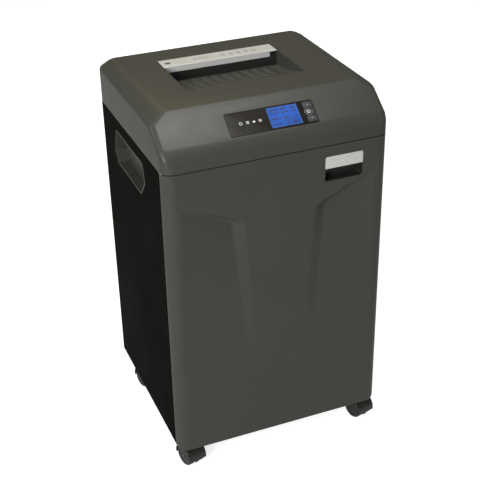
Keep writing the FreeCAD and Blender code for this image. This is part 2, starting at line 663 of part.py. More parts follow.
def cutter_plate(outer_holes):
    """Steel side plate in the left-hand place; outer_holes adds the drive side's holes."""
    plate = box(-PLATE_X - PLATE_T, -PLATE_X, -45 if outer_holes else 30, 160, DECK_Z + DECK_T, 745)
    cuts = [rod(16, (-PLATE_X - PLATE_T, y, SHAFT_Z), PLATE_T, (1, 0, 0)) for y in (Y_A, Y_B)]
    if outer_holes:
        cuts.append(rod(13, (-PLATE_X - PLATE_T, Y_M, SHAFT_Z), PLATE_T, (1, 0, 0)))
        cuts.append(rod(6, (-PLATE_X - PLATE_T, Y_C, SHAFT_Z), PLATE_T, (1, 0, 0)))
    return plate.cut(group(cuts))


def cutter_bearings():
    return group([ring(16, JOURNAL_R + RUNNING, (x, y, SHAFT_Z), PLATE_T, (1, 0, 0))
                  for y in (Y_A, Y_B) for x in (-PLATE_X - PLATE_T, PLATE_X)])


def tie_rods():
    return group([rod(5, (-PLATE_X, y, z), 2 * PLATE_X, (1, 0, 0)) for y in (42, 150) for z in (650, 732)])


def stripper_comb(y, side, fingers, first_x):
    """Bar with a finger in every gap between one shaft's discs."""
    bar_in, bar_out = sorted((y + side * (DISC_R + 0.8), y + side * (DISC_R + 9)))
    tip_in, tip_out = sorted((y + side * (CORE_R + 1), y + side * (DISC_R + 4)))
    pieces = [box(-PLATE_X, PLATE_X, bar_in, bar_out, SHAFT_Z - 8, SHAFT_Z + 8)]
    for i in range(fingers):
        x = first_x + i * DISC_PITCH
        pieces.append(box(x - 1.4, x + 1.4, tip_in, tip_out, SHAFT_Z - 5, SHAFT_Z + 5))
    return fuse(pieces)


def gear(module, teeth, width, bore, first_deg):
    """A spur gear on the X axis at the origin, with short involute teeth and a little backlash."""
    pressure = math.radians(25)
    pitch_r = module * teeth / 2
    base_r = pitch_r * math.cos(pressure)
    tip_r, root_r = pitch_r + 0.75 * module, pitch_r - 1.05 * module
    half_at_pitch = math.pi / (2 * teeth) - 0.17 / pitch_r
    involute = lambda a: math.tan(a) - a

    def half_angle(r):
        if r <= base_r:
            return half_at_pitch + involute(pressure)
        return half_at_pitch + involute(pressure) - involute(math.acos(base_r / r))

    radii = [root_r, max(base_r, root_r + 0.1), pitch_r, tip_r]
    points = []
    for t in range(teeth):
        middle = math.radians(first_deg) + 2 * math.pi * t / teeth
        flank = [(r, -half_angle(r)) for r in radii] + [(r, half_angle(r)) for r in radii[::-1]]
        points += [(r * math.cos(middle + a), r * math.sin(middle + a)) for r, a in flank]
    blank = along_x(points, 0, width)
    return blank.cut(rod(bore, (0, 0, 0), width, (1, 0, 0)))


def placed(shape, x, y):
    moved = shape.copy()
    moved.translate(V(x, y, SHAFT_Z))
    return moved


SYNC_X, FINAL_X, WHEEL_X = 147.0, 161.0, 175.0
FACE_W = 10.0
INTER_BORE = 6.0


def intermediate_gear():
    pinion = gear(CUT_MODULE, PINION_TEETH, FACE_W + 4, INTER_BORE + RUNNING, 180 / PINION_TEETH)
    wheel = gear(MOTOR_MODULE, WHEEL_TEETH, 8, INTER_BORE + RUNNING, 0)
    return placed(pinion, FINAL_X, Y_C).fuse(placed(wheel, WHEEL_X, Y_C))


def intermediate_shaft():
    shaft = rod(INTER_BORE, (PLATE_X, Y_C, SHAFT_Z), 50, (1, 0, 0))
    collars = [rod(8.5, (x, Y_C, SHAFT_Z), length, (1, 0, 0))
               for x, length in ((PLATE_X + PLATE_T, FINAL_X - 0.5 - PLATE_X - PLATE_T), (WHEEL_X + 8.5, 4))]
    return fuse([shaft] + collars)


MOTOR_R = 44.0
MOTOR_X0, MOTOR_X1 = -62.0, PLATE_X
MOTOR_SHAFT_R = 7.0


def motor_body():
    """Motor with a waisted stator, end bells and cooling ribs."""
    length = MOTOR_X1 - MOTOR_X0
    body = rod(MOTOR_R - 3, (MOTOR_X0, Y_M, SHAFT_Z), length, (1, 0, 0))
    bells = [rod(MOTOR_R, (x, Y_M, SHAFT_Z), 38, (1, 0, 0)) for x in (MOTOR_X0, MOTOR_X1 - 38)]
    ribs = [rod(MOTOR_R, (MOTOR_X0 + 46 + 14 * i, Y_M, SHAFT_Z), 5, (1, 0, 0)) for i in range(8)]
    boss = rod(13, (MOTOR_X1, Y_M, SHAFT_Z), PLATE_T, (1, 0, 0))
    body = fuse([body, boss] + bells + ribs)
    return body.cut(rod(MOTOR_SHAFT_R + RUNNING, (MOTOR_X1 - 30, Y_M, SHAFT_Z), 40, (1, 0, 0)))


def motor_pinion():
    shaft = rod(MOTOR_SHAFT_R, (MOTOR_X1 - 29, Y_M, SHAFT_Z), WHEEL_X + 12 - MOTOR_X1 + 29, (1, 0, 0))
    teeth = gear(MOTOR_MODULE, PINION_TEETH, FACE_W, MOTOR_SHAFT_R - 0.5, 180 / PINION_TEETH)
    return shaft.fuse(placed(teeth, WHEEL_X - 1, Y_M)).removeSplitter()


def motor_feet():
    """Saddle that carries the motor's free end on the deck."""
    saddle = box(MOTOR_X0 + 8, MOTOR_X0 + 30, Y_M - 30, Y_M + 30, DECK_Z + DECK_T, SHAFT_Z - 20)
    return saddle.cut(rod(MOTOR_R, (MOTOR_X0, Y_M, SHAFT_Z), 60, (1, 0, 0)))


def run_capacitor():
    z = DECK_Z + DECK_T + 19
    can = rod(19, (-132, -110, z), 78, (1, 0, 0))
    clip = box(-102, -90, -131, -89, DECK_Z + DECK_T, z).cut(rod(19, (-132, -110, z), 78, (1, 0, 0)))
    terminals = [box(-139, -132, -110 + s * 7 - 0.5, -110 + s * 7 + 0.5, z - 3, z + 3) for s in (-1, 1)]
    return group([can, clip] + terminals)


def main_board():
    """Upright control board on a bracket, with its transformer, relays, heat sink and terminals."""
    x = -196.0
    board = box(x, x + 1.6, -60, 90, 626, 724)
    bracket = fuse([box(x - 4, x - 2, -62, 92, DECK_Z + DECK_T, 728), box(x - 4, x + 30, -62, 92, DECK_Z + DECK_T, DECK_Z + DECK_T + 2)])
    posts = [rod(3, (x - 2, y, z), 2, (1, 0, 0)) for y in (-54, 84) for z in (632, 718)]
    x += 1.6
    transformer = box(x, x + 30, -50, -8, 632, 672)
    relays = [box(x, x + 16, y, y + 18, 690, 718) for y in (-50, -26, -2)]
    heat_sink = fuse([box(x, x + 3, 30, 80, 690, 720)] + [box(x, x + 20, 30 + 8 * i, 32 + 8 * i, 690, 720) for i in range(7)])
    terminals = [box(x, x + 12, 10 + 11 * i, 20 + 11 * i, 630, 642) for i in range(6)]
    return group([board, bracket, transformer, heat_sink] + posts + relays + terminals)


# ---- rear connections ---------------------------------------------------------------
SOCKET_W, SOCKET_H = 24.0, 17.0


def power_inlet():
    """Mains inlet let into the rear panel, with three recessed pins."""
    x0, x1 = INLET_X - INLET_W / 2, INLET_X + INLET_W / 2
    z0, z1 = INLET_Z - INLET_H / 2, INLET_Z + INLET_H / 2
    depth = 22.0
    shell = box(x0, x1, BACK - depth, BACK - 0.3, z0, z1)
    w, h = SOCKET_W / 2, SOCKET_H / 2
    mouth = along_y([(INLET_X - w, INLET_Z - h), (INLET_X + w, INLET_Z - h), (INLET_X + w, INLET_Z + h - 5),
                     (INLET_X + w - 5, INLET_Z + h), (INLET_X - w + 5, INLET_Z + h), (INLET_X - w, INLET_Z + h - 5)],
                    BACK - depth + 4, BACK)
    pins = [box(INLET_X + dx - 1, INLET_X + dx + 1, BACK - depth + 4, BACK - 6, INLET_Z + dz - 2, INLET_Z + dz + 2)
            for dx, dz in ((-7, -2), (0, 2), (7, -2))]
    return group([shell.cut(mouth)] + pins)


ROCKER_TILT = 12.0
ROCKER_Y = BACK - 8.0


def rocker_switch():
    """Main switch rocker; it rests with its upper end pressed in."""
    w = ROCKER_W / 2 - 1.5
    outline = [(ROCKER_Y - 5, -5), (ROCKER_Y + 3.5, -8.4), (ROCKER_Y + 5.6, -8), (ROCKER_Y + 3.4, 0),
               (ROCKER_Y + 5.6, 8), (ROCKER_Y + 3.5, 8.4), (ROCKER_Y - 5, 5)]
    rocker = along_x([(y, INLET_Z + z) for y, z in outline], ROCKER_X - w, ROCKER_X + w)
    pivot = rod(2, (ROCKER_X - w - 0.9, ROCKER_Y, INLET_Z), 2 * w + 1.8, (1, 0, 0))
    rocker = fuse([rocker, pivot])
    rocker.rotate(V(ROCKER_X, ROCKER_Y, INLET_Z), V(1, 0, 0), ROCKER_TILT)
    return rocker


def rocker_frame():
    w, h = ROCKER_W / 2, ROCKER_H / 2
    frame = box(ROCKER_X - w, ROCKER_X + w, BACK - 20, BACK - 0.3, INLET_Z - h, INLET_Z + h)
    well = box(ROCKER_X - w + 1.2, ROCKER_X + w - 1.2, BACK - 17, BACK, INLET_Z - h + 1.2, INLET_Z + h - 1.2)
    bore = rod(2 + RUNNING, (ROCKER_X - w + 0.5, ROCKER_Y, INLET_Z), 2 * w - 1, (1, 0, 0))
    return frame.cut(well).cut(bore)


# ---- casters ------------------------------------------------------------------------
WHEEL_W = 16.0
WHEEL_GAP = 11.0
HOOD_IN, HOOD_OUT = 26.4, 28.6


def caster_turned(shape, x, y):
    placed_shape = shape.copy()
    placed_shape.rotate(V(0, 0, 0), V(0, 0, 1), CASTER_TURN)
    placed_shape.translate(V(x, y, 0))
    return placed_shape


def caster_housing():
    """Hood, centre web and stem, with the stem at the origin and the axle TRAIL forward of it."""
    half_w = WHEEL_GAP / 2 + WHEEL_W
    axle = (-half_w, -TRAIL, WHEEL_R)
    hood = ring(HOOD_OUT, HOOD_IN, axle, 2 * half_w, (1, 0, 0))
    hood = hood.common(box(-half_w, half_w, -TRAIL - 40, 40, WHEEL_R - 5, 70))
    web = rod(HOOD_IN + 0.5, (-4, -TRAIL, WHEEL_R), 8, (1, 0, 0))
    web = web.common(box(-4, 4, -TRAIL - 40, 40, WHEEL_R - 14, 70))
    collar = rod(9.5, (0, 0, 38), BASE_Z - 0.5 - 38, (0, 0, 1)).cut(rod(HOOD_IN, axle, 2 * half_w, (1, 0, 0)))
    stem = rod(STEM_R, (0, 0, 44), BASE_Z + SOCKET_DEPTH - 0.5 - 44, (0, 0, 1))
    stem = stem.cut(rod(HOOD_IN, axle, 2 * half_w, (1, 0, 0)))
    body = fuse([hood, web, collar, stem])
    return body.cut(rod(AXLE_R + RUNNING, (-4, -TRAIL, WHEEL_R), 8, (1, 0, 0)))


def caster_wheels():
    """Both wheels on their axle, turned as one profile."""
    inner, outer = WHEEL_GAP / 2, WHEEL_GAP / 2 + WHEEL_W
    half = [(0, 0), (0, AXLE_R), (inner, AXLE_R), (inner, WHEEL_R - 2), (inner + 2, WHEEL_R), (outer - 4, WHEEL_R),
            (outer - 1.2, WHEEL_R - 2), (outer, WHEEL_R - 6), (outer - 1.5, WHEEL_R - 9), (outer - 1.5, 5), (outer, 4), (outer, 0)]
    outline = [(-x, r) for x, r in half[:0:-1]] + half[1:]
    return polygon([(x, -TRAIL, WHEEL_R + r) for x, r in outline]).revolve(V(0, -TRAIL, WHEEL_R), V(1, 0, 0), 360)


# ---- the assembly -------------------------------------------------------------------
def build():
    keep("side_panel_left", side_panel())
    keep("side_panel_right", mirror_x(side_panel()))
    keep("handle_cup_left", handle_cup())
    keep("handle_cup_right", mirror_x(handle_cup()))
    keep("base_panel", base_panel())
    keep("rear_panel", rear_panel())
    keep("panel_screws", panel_screws())
    keep("deck_plate", deck_plate())
    keep("front_crossbar", front_crossbar())
    keep("hinge_brackets", hinge_brackets())
    keep("waste_bin", waste_bin())
    keep("bin_rails", bin_rails())
    keep("magnet_catch", magnet_catch())
    keep("reed_switch", reed_switch())
    keep("bin_full_sensor", bin_full_sensor())

    keep("door_shell", door_shell())
    keep("door_inner_panel", door_inner_panel())
    keep("hinge_bushes", hinge_bushes())
    keep("handle_pocket", handle_pocket())
    keep("handle_plate", handle_plate())
    keep("strike_and_magnet", strike_and_magnet())

    keep("head_cover", head_cover())
    keep("paper_ramp", paper_ramp())
    keep("label_bar", label_bar())
    keep("rear_chute", rear_chute())
    keep("control_lens", control_lens())
    keep("lcd_module", lcd_module())
    keep("power_button", power_button())
    keep("forward_button", pad_button(FORWARD_Y0, FORWARD_Y1))
    keep("reverse_button", pad_button(REVERSE_Y0, REVERSE_Y1))
    keep("control_board", control_board())

    first_a = -DISC_PITCH * (DISCS - 1) / 2
    first_b = first_a + DISC_PITCH / 2
    keep("cutter_front", cutter_rotor(Y_A, DISCS, first_a, FINAL_X + FACE_W + 2, 0))
    keep("cutter_rear", cutter_rotor(Y_B, DISCS - 1, first_b, SYNC_X + FACE_W + 2, 45))
    keep("cutter_plate_left", cutter_plate(False))
    keep("cutter_plate_right", mirror_x(cutter_plate(True)))
    keep("cutter_bearings", cutter_bearings())
    keep("tie_rods", tie_rods())
    keep("comb_front", stripper_comb(Y_A, -1, DISCS - 1, first_b))
    keep("comb_rear", stripper_comb(Y_B, 1, DISCS - 2, first_b + DISC_PITCH / 2))
    keep("sync_gear_front", placed(gear(CUT_MODULE, SYNC_TEETH, FACE_W, JOURNAL_R, 0), SYNC_X, Y_A))
    keep("sync_gear_rear", placed(gear(CUT_MODULE, SYNC_TEETH, FACE_W, JOURNAL_R, 0), SYNC_X, Y_B))
    keep("final_gear", placed(gear(CUT_MODULE, FINAL_TEETH, FACE_W, JOURNAL_R, 0), FINAL_X, Y_A))
    keep("intermediate_gear", intermediate_gear())
    keep("intermediate_shaft", intermediate_shaft())
    keep("motor_pinion", motor_pinion())
    keep("motor_body", motor_body())
    keep("motor_saddle", motor_feet())
    keep("run_capacitor", run_capacitor())
    keep("main_board", main_board())

    keep("power_inlet", power_inlet())
    keep("rocker_frame", rocker_frame())
    keep("rocker_switch", rocker_switch())

    for (x, y), name in zip(CASTER_POINTS, ("front_left", "rear_left", "front_right", "rear_right")):
        keep(f"caster_housing_{name}", caster_turned(caster_housing(), x, y))
        keep(f"caster_wheels_{name}", caster_turned(caster_wheels(), x, y))


build()
os.makedirs("parts", exist_ok=True)
for name, shape in PARTS.items():
    if not shape.isValid():
        print("not valid:", name)
    shape.exportStep(f"parts/{name}.step")
print(len(PARTS), "nodes")
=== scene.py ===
"""Looks of the floor-standing paper shredder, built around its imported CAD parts."""

import itertools
import json
import math

import bmesh
import bpy
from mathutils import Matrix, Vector


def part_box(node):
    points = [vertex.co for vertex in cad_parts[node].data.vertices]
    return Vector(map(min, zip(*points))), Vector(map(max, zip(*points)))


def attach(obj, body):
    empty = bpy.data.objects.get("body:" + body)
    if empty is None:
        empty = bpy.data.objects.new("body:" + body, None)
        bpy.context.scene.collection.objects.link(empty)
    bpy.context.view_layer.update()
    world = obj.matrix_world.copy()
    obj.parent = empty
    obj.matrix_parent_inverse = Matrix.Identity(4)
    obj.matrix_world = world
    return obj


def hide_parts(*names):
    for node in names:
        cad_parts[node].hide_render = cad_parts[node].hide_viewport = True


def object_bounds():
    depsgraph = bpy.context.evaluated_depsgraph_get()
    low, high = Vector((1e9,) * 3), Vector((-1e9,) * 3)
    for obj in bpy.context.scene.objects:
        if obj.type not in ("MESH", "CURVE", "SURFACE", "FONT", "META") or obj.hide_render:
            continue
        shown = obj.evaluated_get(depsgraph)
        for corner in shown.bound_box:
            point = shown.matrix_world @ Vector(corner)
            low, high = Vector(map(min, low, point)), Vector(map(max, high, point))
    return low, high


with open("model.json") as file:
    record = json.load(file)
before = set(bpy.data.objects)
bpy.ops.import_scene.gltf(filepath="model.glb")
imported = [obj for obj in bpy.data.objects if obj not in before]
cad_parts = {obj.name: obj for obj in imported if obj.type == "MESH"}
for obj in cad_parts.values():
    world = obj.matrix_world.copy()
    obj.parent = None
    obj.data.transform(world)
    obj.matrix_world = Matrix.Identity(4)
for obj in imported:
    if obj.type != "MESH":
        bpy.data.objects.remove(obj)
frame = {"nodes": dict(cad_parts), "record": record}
cad_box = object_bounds()
NODES = frame["nodes"]
SLOT_OF = {s["node"]: s["material_slot"] for s in frame["record"]["subparts"]}
MM = 0.001
QUARTER = math.pi / 2  # a quarter turn
TOUCH = 0.01 * MM  # points nearer than this count as touching

# ---- shared dimensions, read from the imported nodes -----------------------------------
LO, HI = cad_box
HALF = HI.x
FRONT, BACK, TOP = LO.y, HI.y, HI.z
DOOR_LO, DOOR_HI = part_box("door_shell")
HEAD_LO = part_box("head_cover")[0]
PLATE_LO, PLATE_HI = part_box("handle_plate")
POCKET_LO, POCKET_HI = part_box("handle_pocket")
BAR_LO, BAR_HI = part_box("label_bar")
LENS_LO, LENS_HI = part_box("control_lens")
BUSH_LO, BUSH_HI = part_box("hinge_bushes")
HINGE_X, HINGE_Y = (BUSH_LO.x + BUSH_HI.x) / 2, (BUSH_LO.y + BUSH_HI.y) / 2
CORNER_R = 26 * MM
SLOPE_FOOT_Z = HEAD_LO.z + 30 * MM
SLOPE_RUN = 88 * MM
SLOPE_TOP_Y = FRONT + SLOPE_RUN
SLOPE = math.atan2(TOP - SLOPE_FOOT_Z, SLOPE_RUN)
SKIN = 3 * MM


# ---- material helpers -----------------------------------------------------------------
class Nodes:
    """A small wrapper that makes a material's node tree readable to write."""

    def __init__(self, name):
        self.material = bpy.data.materials.new(name)
        self.material.use_nodes = True
        self.tree = self.material.node_tree
        self.shader = self.tree.nodes["Principled BSDF"]
        self.coords = self.add("ShaderNodeTexCoord").outputs["Object"]

    def add(self, kind, **inputs):
        node = self.tree.nodes.new(kind)
        for key, value in inputs.items():
            self.set(node, key, value)
        return node

    def set(self, node, key, value):
        socket = node.inputs[key.replace("_", " ")]
        if isinstance(value, bpy.types.NodeSocket):
            self.tree.links.new(value, socket)
        else:
            socket.default_value = value

    def noise(self, scale, detail=3.0, roughness=0.5, stretch=None):
        coords = self.coords
        if stretch:
            mapping = self.add("ShaderNodeMapping", Vector=coords)
            mapping.inputs["Scale"].default_value = stretch
            coords = mapping.outputs[0]
        node = self.add("ShaderNodeTexNoise", Vector=coords, Scale=scale, Detail=detail, Roughness=roughness)
        return node.outputs[0]

    def remap(self, value, low, high, to_low, to_high):
        node = self.add("ShaderNodeMapRange", Value=value, From_Min=low, From_Max=high)
        self.set(node, "To_Min", to_low)
        self.set(node, "To_Max", to_high)
        return node.outputs[0]

    def mix(self, factor, a, b):
        """Mixes two colours, which are a Mix node's inputs 6 and 7; the result is its output 2."""
        node = self.tree.nodes.new("ShaderNodeMix")
        node.data_type = "RGBA"
        for socket, value in ((node.inputs[0], factor), (node.inputs[6], a), (node.inputs[7], b)):
            if isinstance(value, bpy.types.NodeSocket):
                self.tree.links.new(value, socket)
            else:
                socket.default_value = value
        return node.outputs[2]

    def bump(self, height, strength, distance, normal=None):
        node = self.add("ShaderNodeBump", Height=height, Strength=strength, Distance=distance)
        if normal is not None:
            self.tree.links.new(normal, node.inputs["Normal"])
        return node.outputs[0]

    def finish(self, **inputs):
        for key, value in inputs.items():
            self.set(self.shader, key, value)
        return self.material


def rgba(r, g, b):
    return (r, g, b, 1.0)


def shade(colour, factor):
    return tuple(c * factor for c in colour[:3]) + (1.0,)


def edge_wear(n, width=1.2 * MM):
    """1 along worn convex edges, 0 on open faces."""
    softened = n.add("ShaderNodeBevel", Radius=width)
    normal = n.add("ShaderNodeNewGeometry").outputs["Normal"]
    dot = n.tree.nodes.new("ShaderNodeVectorMath")
    dot.operation = "DOT_PRODUCT"
    n.tree.links.new(softened.outputs[0], dot.inputs[0])
    n.tree.links.new(normal, dot.inputs[1])
    return n.remap(dot.outputs["Value"], 0.98, 0.80, 0.0, 1.0)


COLOUR_DRIFT = 0.035  # how far moulded plastic strays from its mean colour


def moulded_plastic(name, colour, rough, grain=0.12, grain_scale=1400.0, specular=0.5):
    """Moulded plastic with a fine spark texture, slow colour drift and handling marks."""
    n = Nodes(name)
    darker, lighter = shade(colour, 1 - COLOUR_DRIFT), shade(colour, 1 + COLOUR_DRIFT)
    fine = n.noise(grain_scale, 2.0)
    soft = n.noise(6.0, 3.0)
    smudge = n.noise(26.0, 4.0, 0.6, (1.0, 1.0, 0.45))
    tint = n.mix(n.remap(soft, 0.3, 0.7, 0.0, 1.0), darker, lighter)
    speck = n.mix(n.remap(fine, 0.35, 0.65, 0.0, 0.35), tint, shade(colour, 1.22))
    roughness = n.remap(smudge, 0.3, 0.7, rough - 0.02, rough + 0.025)
    normal = n.bump(fine, grain, 0.0002)
    return n.finish(Base_Color=speck, Roughness=roughness, Normal=normal, Specular_IOR_Level=specular)


def laminate(name, colour):
    """Black melamine on board: a faint vertical grain and a slightly broken sheen."""
    n = Nodes(name)
    grain = n.noise(180.0, 4.0, 0.6, (1.0, 1.0, 0.06))
    pebble = n.noise(900.0, 2.0)
    cloud = n.noise(4.0, 2.0)
    tint = n.mix(n.remap(grain, 0.35, 0.65, 0.0, 1.0), shade(colour, 0.82), shade(colour, 1.25))
    roughness = n.remap(cloud, 0.3, 0.7, 0.54, 0.64)
    normal = n.bump(pebble, 0.10, 0.0002, n.bump(grain, 0.06, 0.0003))
    return n.finish(Base_Color=tint, Roughness=roughness, Normal=normal, Specular_IOR_Level=0.004)


def brushed(name, colour, rough, metallic=1.0, wear=0.0):
    """Metal or silver lacquer with fine lines from side to side."""
    n = Nodes(name)
    lines = n.noise(900.0, 4.0, 0.65, (0.02, 1.0, 1.0))
    blotch = n.noise(18.0, 3.0)
    tint = n.mix(n.remap(lines, 0.3, 0.7, 0.0, 1.0), shade(colour, 0.93), shade(colour, 1.05))
    roughness = n.remap(blotch, 0.3, 0.7, rough - 0.05, rough + 0.06)
    if wear:
        tint = n.mix(n.remap(edge_wear(n), 0.0, 1.0, 0.0, wear), tint, shade(colour, 1.5))
    normal = n.bump(lines, 0.05, 0.0002)
    return n.finish(Base_Color=tint, Roughness=roughness, Normal=normal, Metallic=metallic)


def gloss_panel(name, colour):
    """Clear-faced acrylic printed black behind, with faint wiping marks."""
    n = Nodes(name)
    wipe = n.noise(40.0, 5.0, 0.7, (1.0, 0.3, 1.0))
    roughness = n.remap(wipe, 0.4, 0.7, 0.20, 0.30)
    tint = n.mix(n.remap(wipe, 0.3, 0.7, 0.0, 1.0), shade(colour, 0.9), shade(colour, 1.15))
    return n.finish(Base_Color=tint, Roughness=roughness, Specular_IOR_Level=0.06)


def display_glass(name):
    """Backlit blue display with a slightly uneven glow and the cell's fine dot grid."""
    n = Nodes(name)
    glow = n.noise(14.0, 1.0)
    grid = n.add("ShaderNodeTexVoronoi", Vector=n.coords, Scale=1100.0).outputs[0]
    tint = n.mix(n.remap(glow, 0.3, 0.7, 0.0, 1.0), rgba(0.011, 0.044, 0.200), rgba(0.019, 0.070, 0.300))
    tint = n.mix(n.remap(grid, 0.0, 0.6, 0.0, 0.18), tint, rgba(0.004, 0.016, 0.085))
    return n.finish(Base_Color=tint, Emission_Color=tint, Emission_Strength=0.6, Roughness=0.3,
                    Specular_IOR_Level=0.05)


def circuit_board(name):
    """Solder mask with copper tracks showing through as lighter lines."""
    n = Nodes(name)
    tracks = n.add("ShaderNodeTexBrick", Vector=n.coords, Scale=90.0, Mortar_Size=0.02)
    for key, grey in (("Color1", 0.0), ("Color2", 0.1), ("Mortar", 1.0)):
        tracks.inputs[key].default_value = rgba(grey, grey, grey)
    cloud = n.noise(60.0, 2.0)
    tint = n.mix(tracks.outputs[0], rgba(0.012, 0.075, 0.03), rgba(0.035, 0.16, 0.07))
    return n.finish(Base_Color=tint, Roughness=n.remap(cloud, 0.3, 0.7, 0.28, 0.4))


def printed(name, colour, emission=0.0):
    """Screen-printed ink with a slightly uneven density."""
    n = Nodes(name)
    ink = n.noise(2200.0, 2.0)
    tint = n.mix(n.remap(ink, 0.3, 0.7, 0.0, 1.0), shade(colour, 0.85), shade(colour, 1.1))
    extra = {"Emission_Color": tint, "Emission_Strength": emission} if emission else {}
    return n.finish(Base_Color=tint, Roughness=n.remap(ink, 0.3, 0.7, 0.4, 0.6), **extra)


HOUSING = (0.0385, 0.0382, 0.0335)
MATERIALS = {
    "housing": moulded_plastic("housing_plastic", HOUSING, rough=0.40, specular=0.27),
    "side_board": laminate("side_laminate", (0.0045, 0.0044, 0.0040)),
    "silver": brushed("silver_lacquer", (0.56, 0.56, 0.555), 0.40, metallic=0.35, wear=0.2),
    "black_plastic": moulded_plastic("black_plastic", (0.012, 0.012, 0.011), rough=0.4),
    "gloss_black": gloss_panel("panel_acrylic", (0.010, 0.0085, 0.007)),
    "display_blue": display_glass("display_cell"),
    "button": moulded_plastic("button_plastic", (0.045, 0.045, 0.048), rough=0.4, grain=0.05, specular=0.1),
    "circuit_board": circuit_board("circuit_board"),
    "zinc_steel": brushed("zinc_steel", (0.50, 0.50, 0.48), 0.36, wear=0.3),
    "dark_steel": brushed("oiled_steel", (0.20, 0.195, 0.185), 0.32, wear=0.6),
    "bronze": brushed("sintered_bronze", (0.40, 0.26, 0.12), 0.45),
    "bin_plastic": moulded_plastic("bin_plastic", (0.022, 0.022, 0.022), rough=0.5, grain=0.2),
    "motor_paint": moulded_plastic("motor_enamel", (0.035, 0.038, 0.042), rough=0.35, grain=0.3,
                                   grain_scale=400.0),
    "capacitor_can": brushed("capacitor_can", (0.6, 0.6, 0.6), 0.3),
    "wheel_plastic": moulded_plastic("wheel_nylon", (0.010, 0.010, 0.010), rough=0.34, grain=0.06),
    "rocker_red": moulded_plastic("rocker_plastic", (0.012, 0.012, 0.012), rough=0.22, grain=0.03),
}
PRINT_LIGHT = printed("light_print", (0.72, 0.73, 0.74), 0.10)
PRINT_DIM = printed("dim_print", (0.13, 0.13, 0.135))
PRINT_DARK = printed("dark_print", (0.03, 0.03, 0.03))
PRINT_SEGMENT = printed("display_segments", (0.002, 0.004, 0.016))
PRINT_BORDER = printed("display_border", (0.05, 0.11, 0.30), 0.2)
KEY_SURROUND = moulded_plastic("key_surround", (0.040, 0.040, 0.044), rough=0.35, grain=0.04, specular=0.1)


# ---- mesh helpers ---------------------------------------------------------------------
def object_from(name, bm):
    """A scene object made of a finished bmesh, which is freed."""
    mesh = bpy.data.meshes.new(name)
    bm.to_mesh(mesh)
    bm.free()
    obj = bpy.data.objects.new(name, mesh)
    bpy.context.scene.collection.objects.link(obj)
    return obj


def solid_from(name, bm):
    """The same for a closed body, with its faces turned outward."""
    bmesh.ops.recalc_face_normals(bm, faces=bm.faces)
    return object_from(name, bm)


def piece_from(name, bm, body, material, replaces=()):
    """A solid that rides on a body, with what it's made of and the nodes it stands in for."""
    obj = solid_from(name, bm)
    obj.data.materials.append(material)
    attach(obj, body)
    for node in replaces:
        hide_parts(node)
    return obj


def apply_modifiers(obj):
    """Bakes the modifiers into the mesh."""
    depsgraph = bpy.context.evaluated_depsgraph_get()
    mesh = bpy.data.meshes.new_from_object(obj.evaluated_get(depsgraph))
    obj.modifiers.clear()
    obj.data = mesh


def smooth_by_angle(obj, degrees):
    """Smooth shading with creases where faces meet at more than this many degrees."""
    mesh = obj.data
    bm = bmesh.new()
    bm.from_mesh(mesh)
    limit = math.radians(degrees)
    for face in bm.faces:
        face.smooth = True
    for edge in bm.edges:
        edge.smooth = len(edge.link_faces) == 2 and edge.calc_face_angle(0.0) < limit
    bm.to_mesh(mesh)
    bm.free()


def cut_with(obj, cutters):
    """Cuts the solids away and removes them."""
    for cutter in cutters:
        modifier = obj.modifiers.new("cut", "BOOLEAN")
        modifier.operation = "DIFFERENCE"
        modifier.solver = "EXACT"
        modifier.object = cutter
    apply_modifiers(obj)
    for cutter in cutters:
        bpy.data.objects.remove(cutter)


def arc(cx, cy, radius, start, sweep, steps, first=0):
    """Points along an arc; the angles are in radians."""
    angles = [start + sweep * k / steps for k in range(first, steps + 1)]
    return [(cx + radius * math.cos(a), cy + radius * math.sin(a)) for a in angles]


def rounded_outline(x0, x1, y0, y1, radius):
    """Corners of a rounded rectangle in 2-D, counter-clockwise."""
    corners = ((x1 - radius, y1 - radius), (x0 + radius, y1 - radius),
               (x0 + radius, y0 + radius), (x1 - radius, y0 + radius))
    points = []
    for turn, (cx, cy) in enumerate(corners):
        points += arc(cx, cy, radius, QUARTER * turn, QUARTER, 6)
    return points


def in_plan(u, v, w):
    """Places an outline drawn in plan."""
    return (u, v, w)


def on_front(u, v, w):
    """Places an outline drawn on the front, with w running to the back."""
    return (u, w, v)


def prism(bm, outline, low, high, place):
    """Adds a prism with a 2-D outline between two heights; place turns (u, v, w) into a point."""
    rings = [[bm.verts.new(place(u, v, w)) for u, v in outline] for w in (low, high)]
    bm.faces.new(rings[0][::-1])
    bm.faces.new(rings[1])
    for i in range(len(outline)):
        j = (i + 1) % len(outline)
        bm.faces.new((rings[0][i], rings[0][j], rings[1][j], rings[1][i]))


def prism_cutter(name, outline, low, high, place=in_plan):
    bm = bmesh.new()
    prism(bm, outline, low, high, place)
    return solid_from(name, bm)


def cut_box(name, x0, x1, y0, y1, z0, z1):
    return prism_cutter(name, [(x0, y0), (x1, y0), (x1, y1), (x0, y1)], z0, z1)


def on_slope(u, v, w):
    """A point u across, v up the slope and w outward from the control face."""
    c, s = math.cos(SLOPE), math.sin(SLOPE)
    return (u, SLOPE_TOP_Y + v * c - w * s, TOP + v * s + w * c)


def bevel(obj, width, angle=30.0):
    """Rounds the edges where faces meet at more than angle degrees."""
    modifier = obj.modifiers.new("bevel", "BEVEL")
    modifier.width = width
    modifier.segments = 2
    modifier.limit_method = "ANGLE"
    modifier.angle_limit = math.radians(angle)
    modifier.harden_normals = False


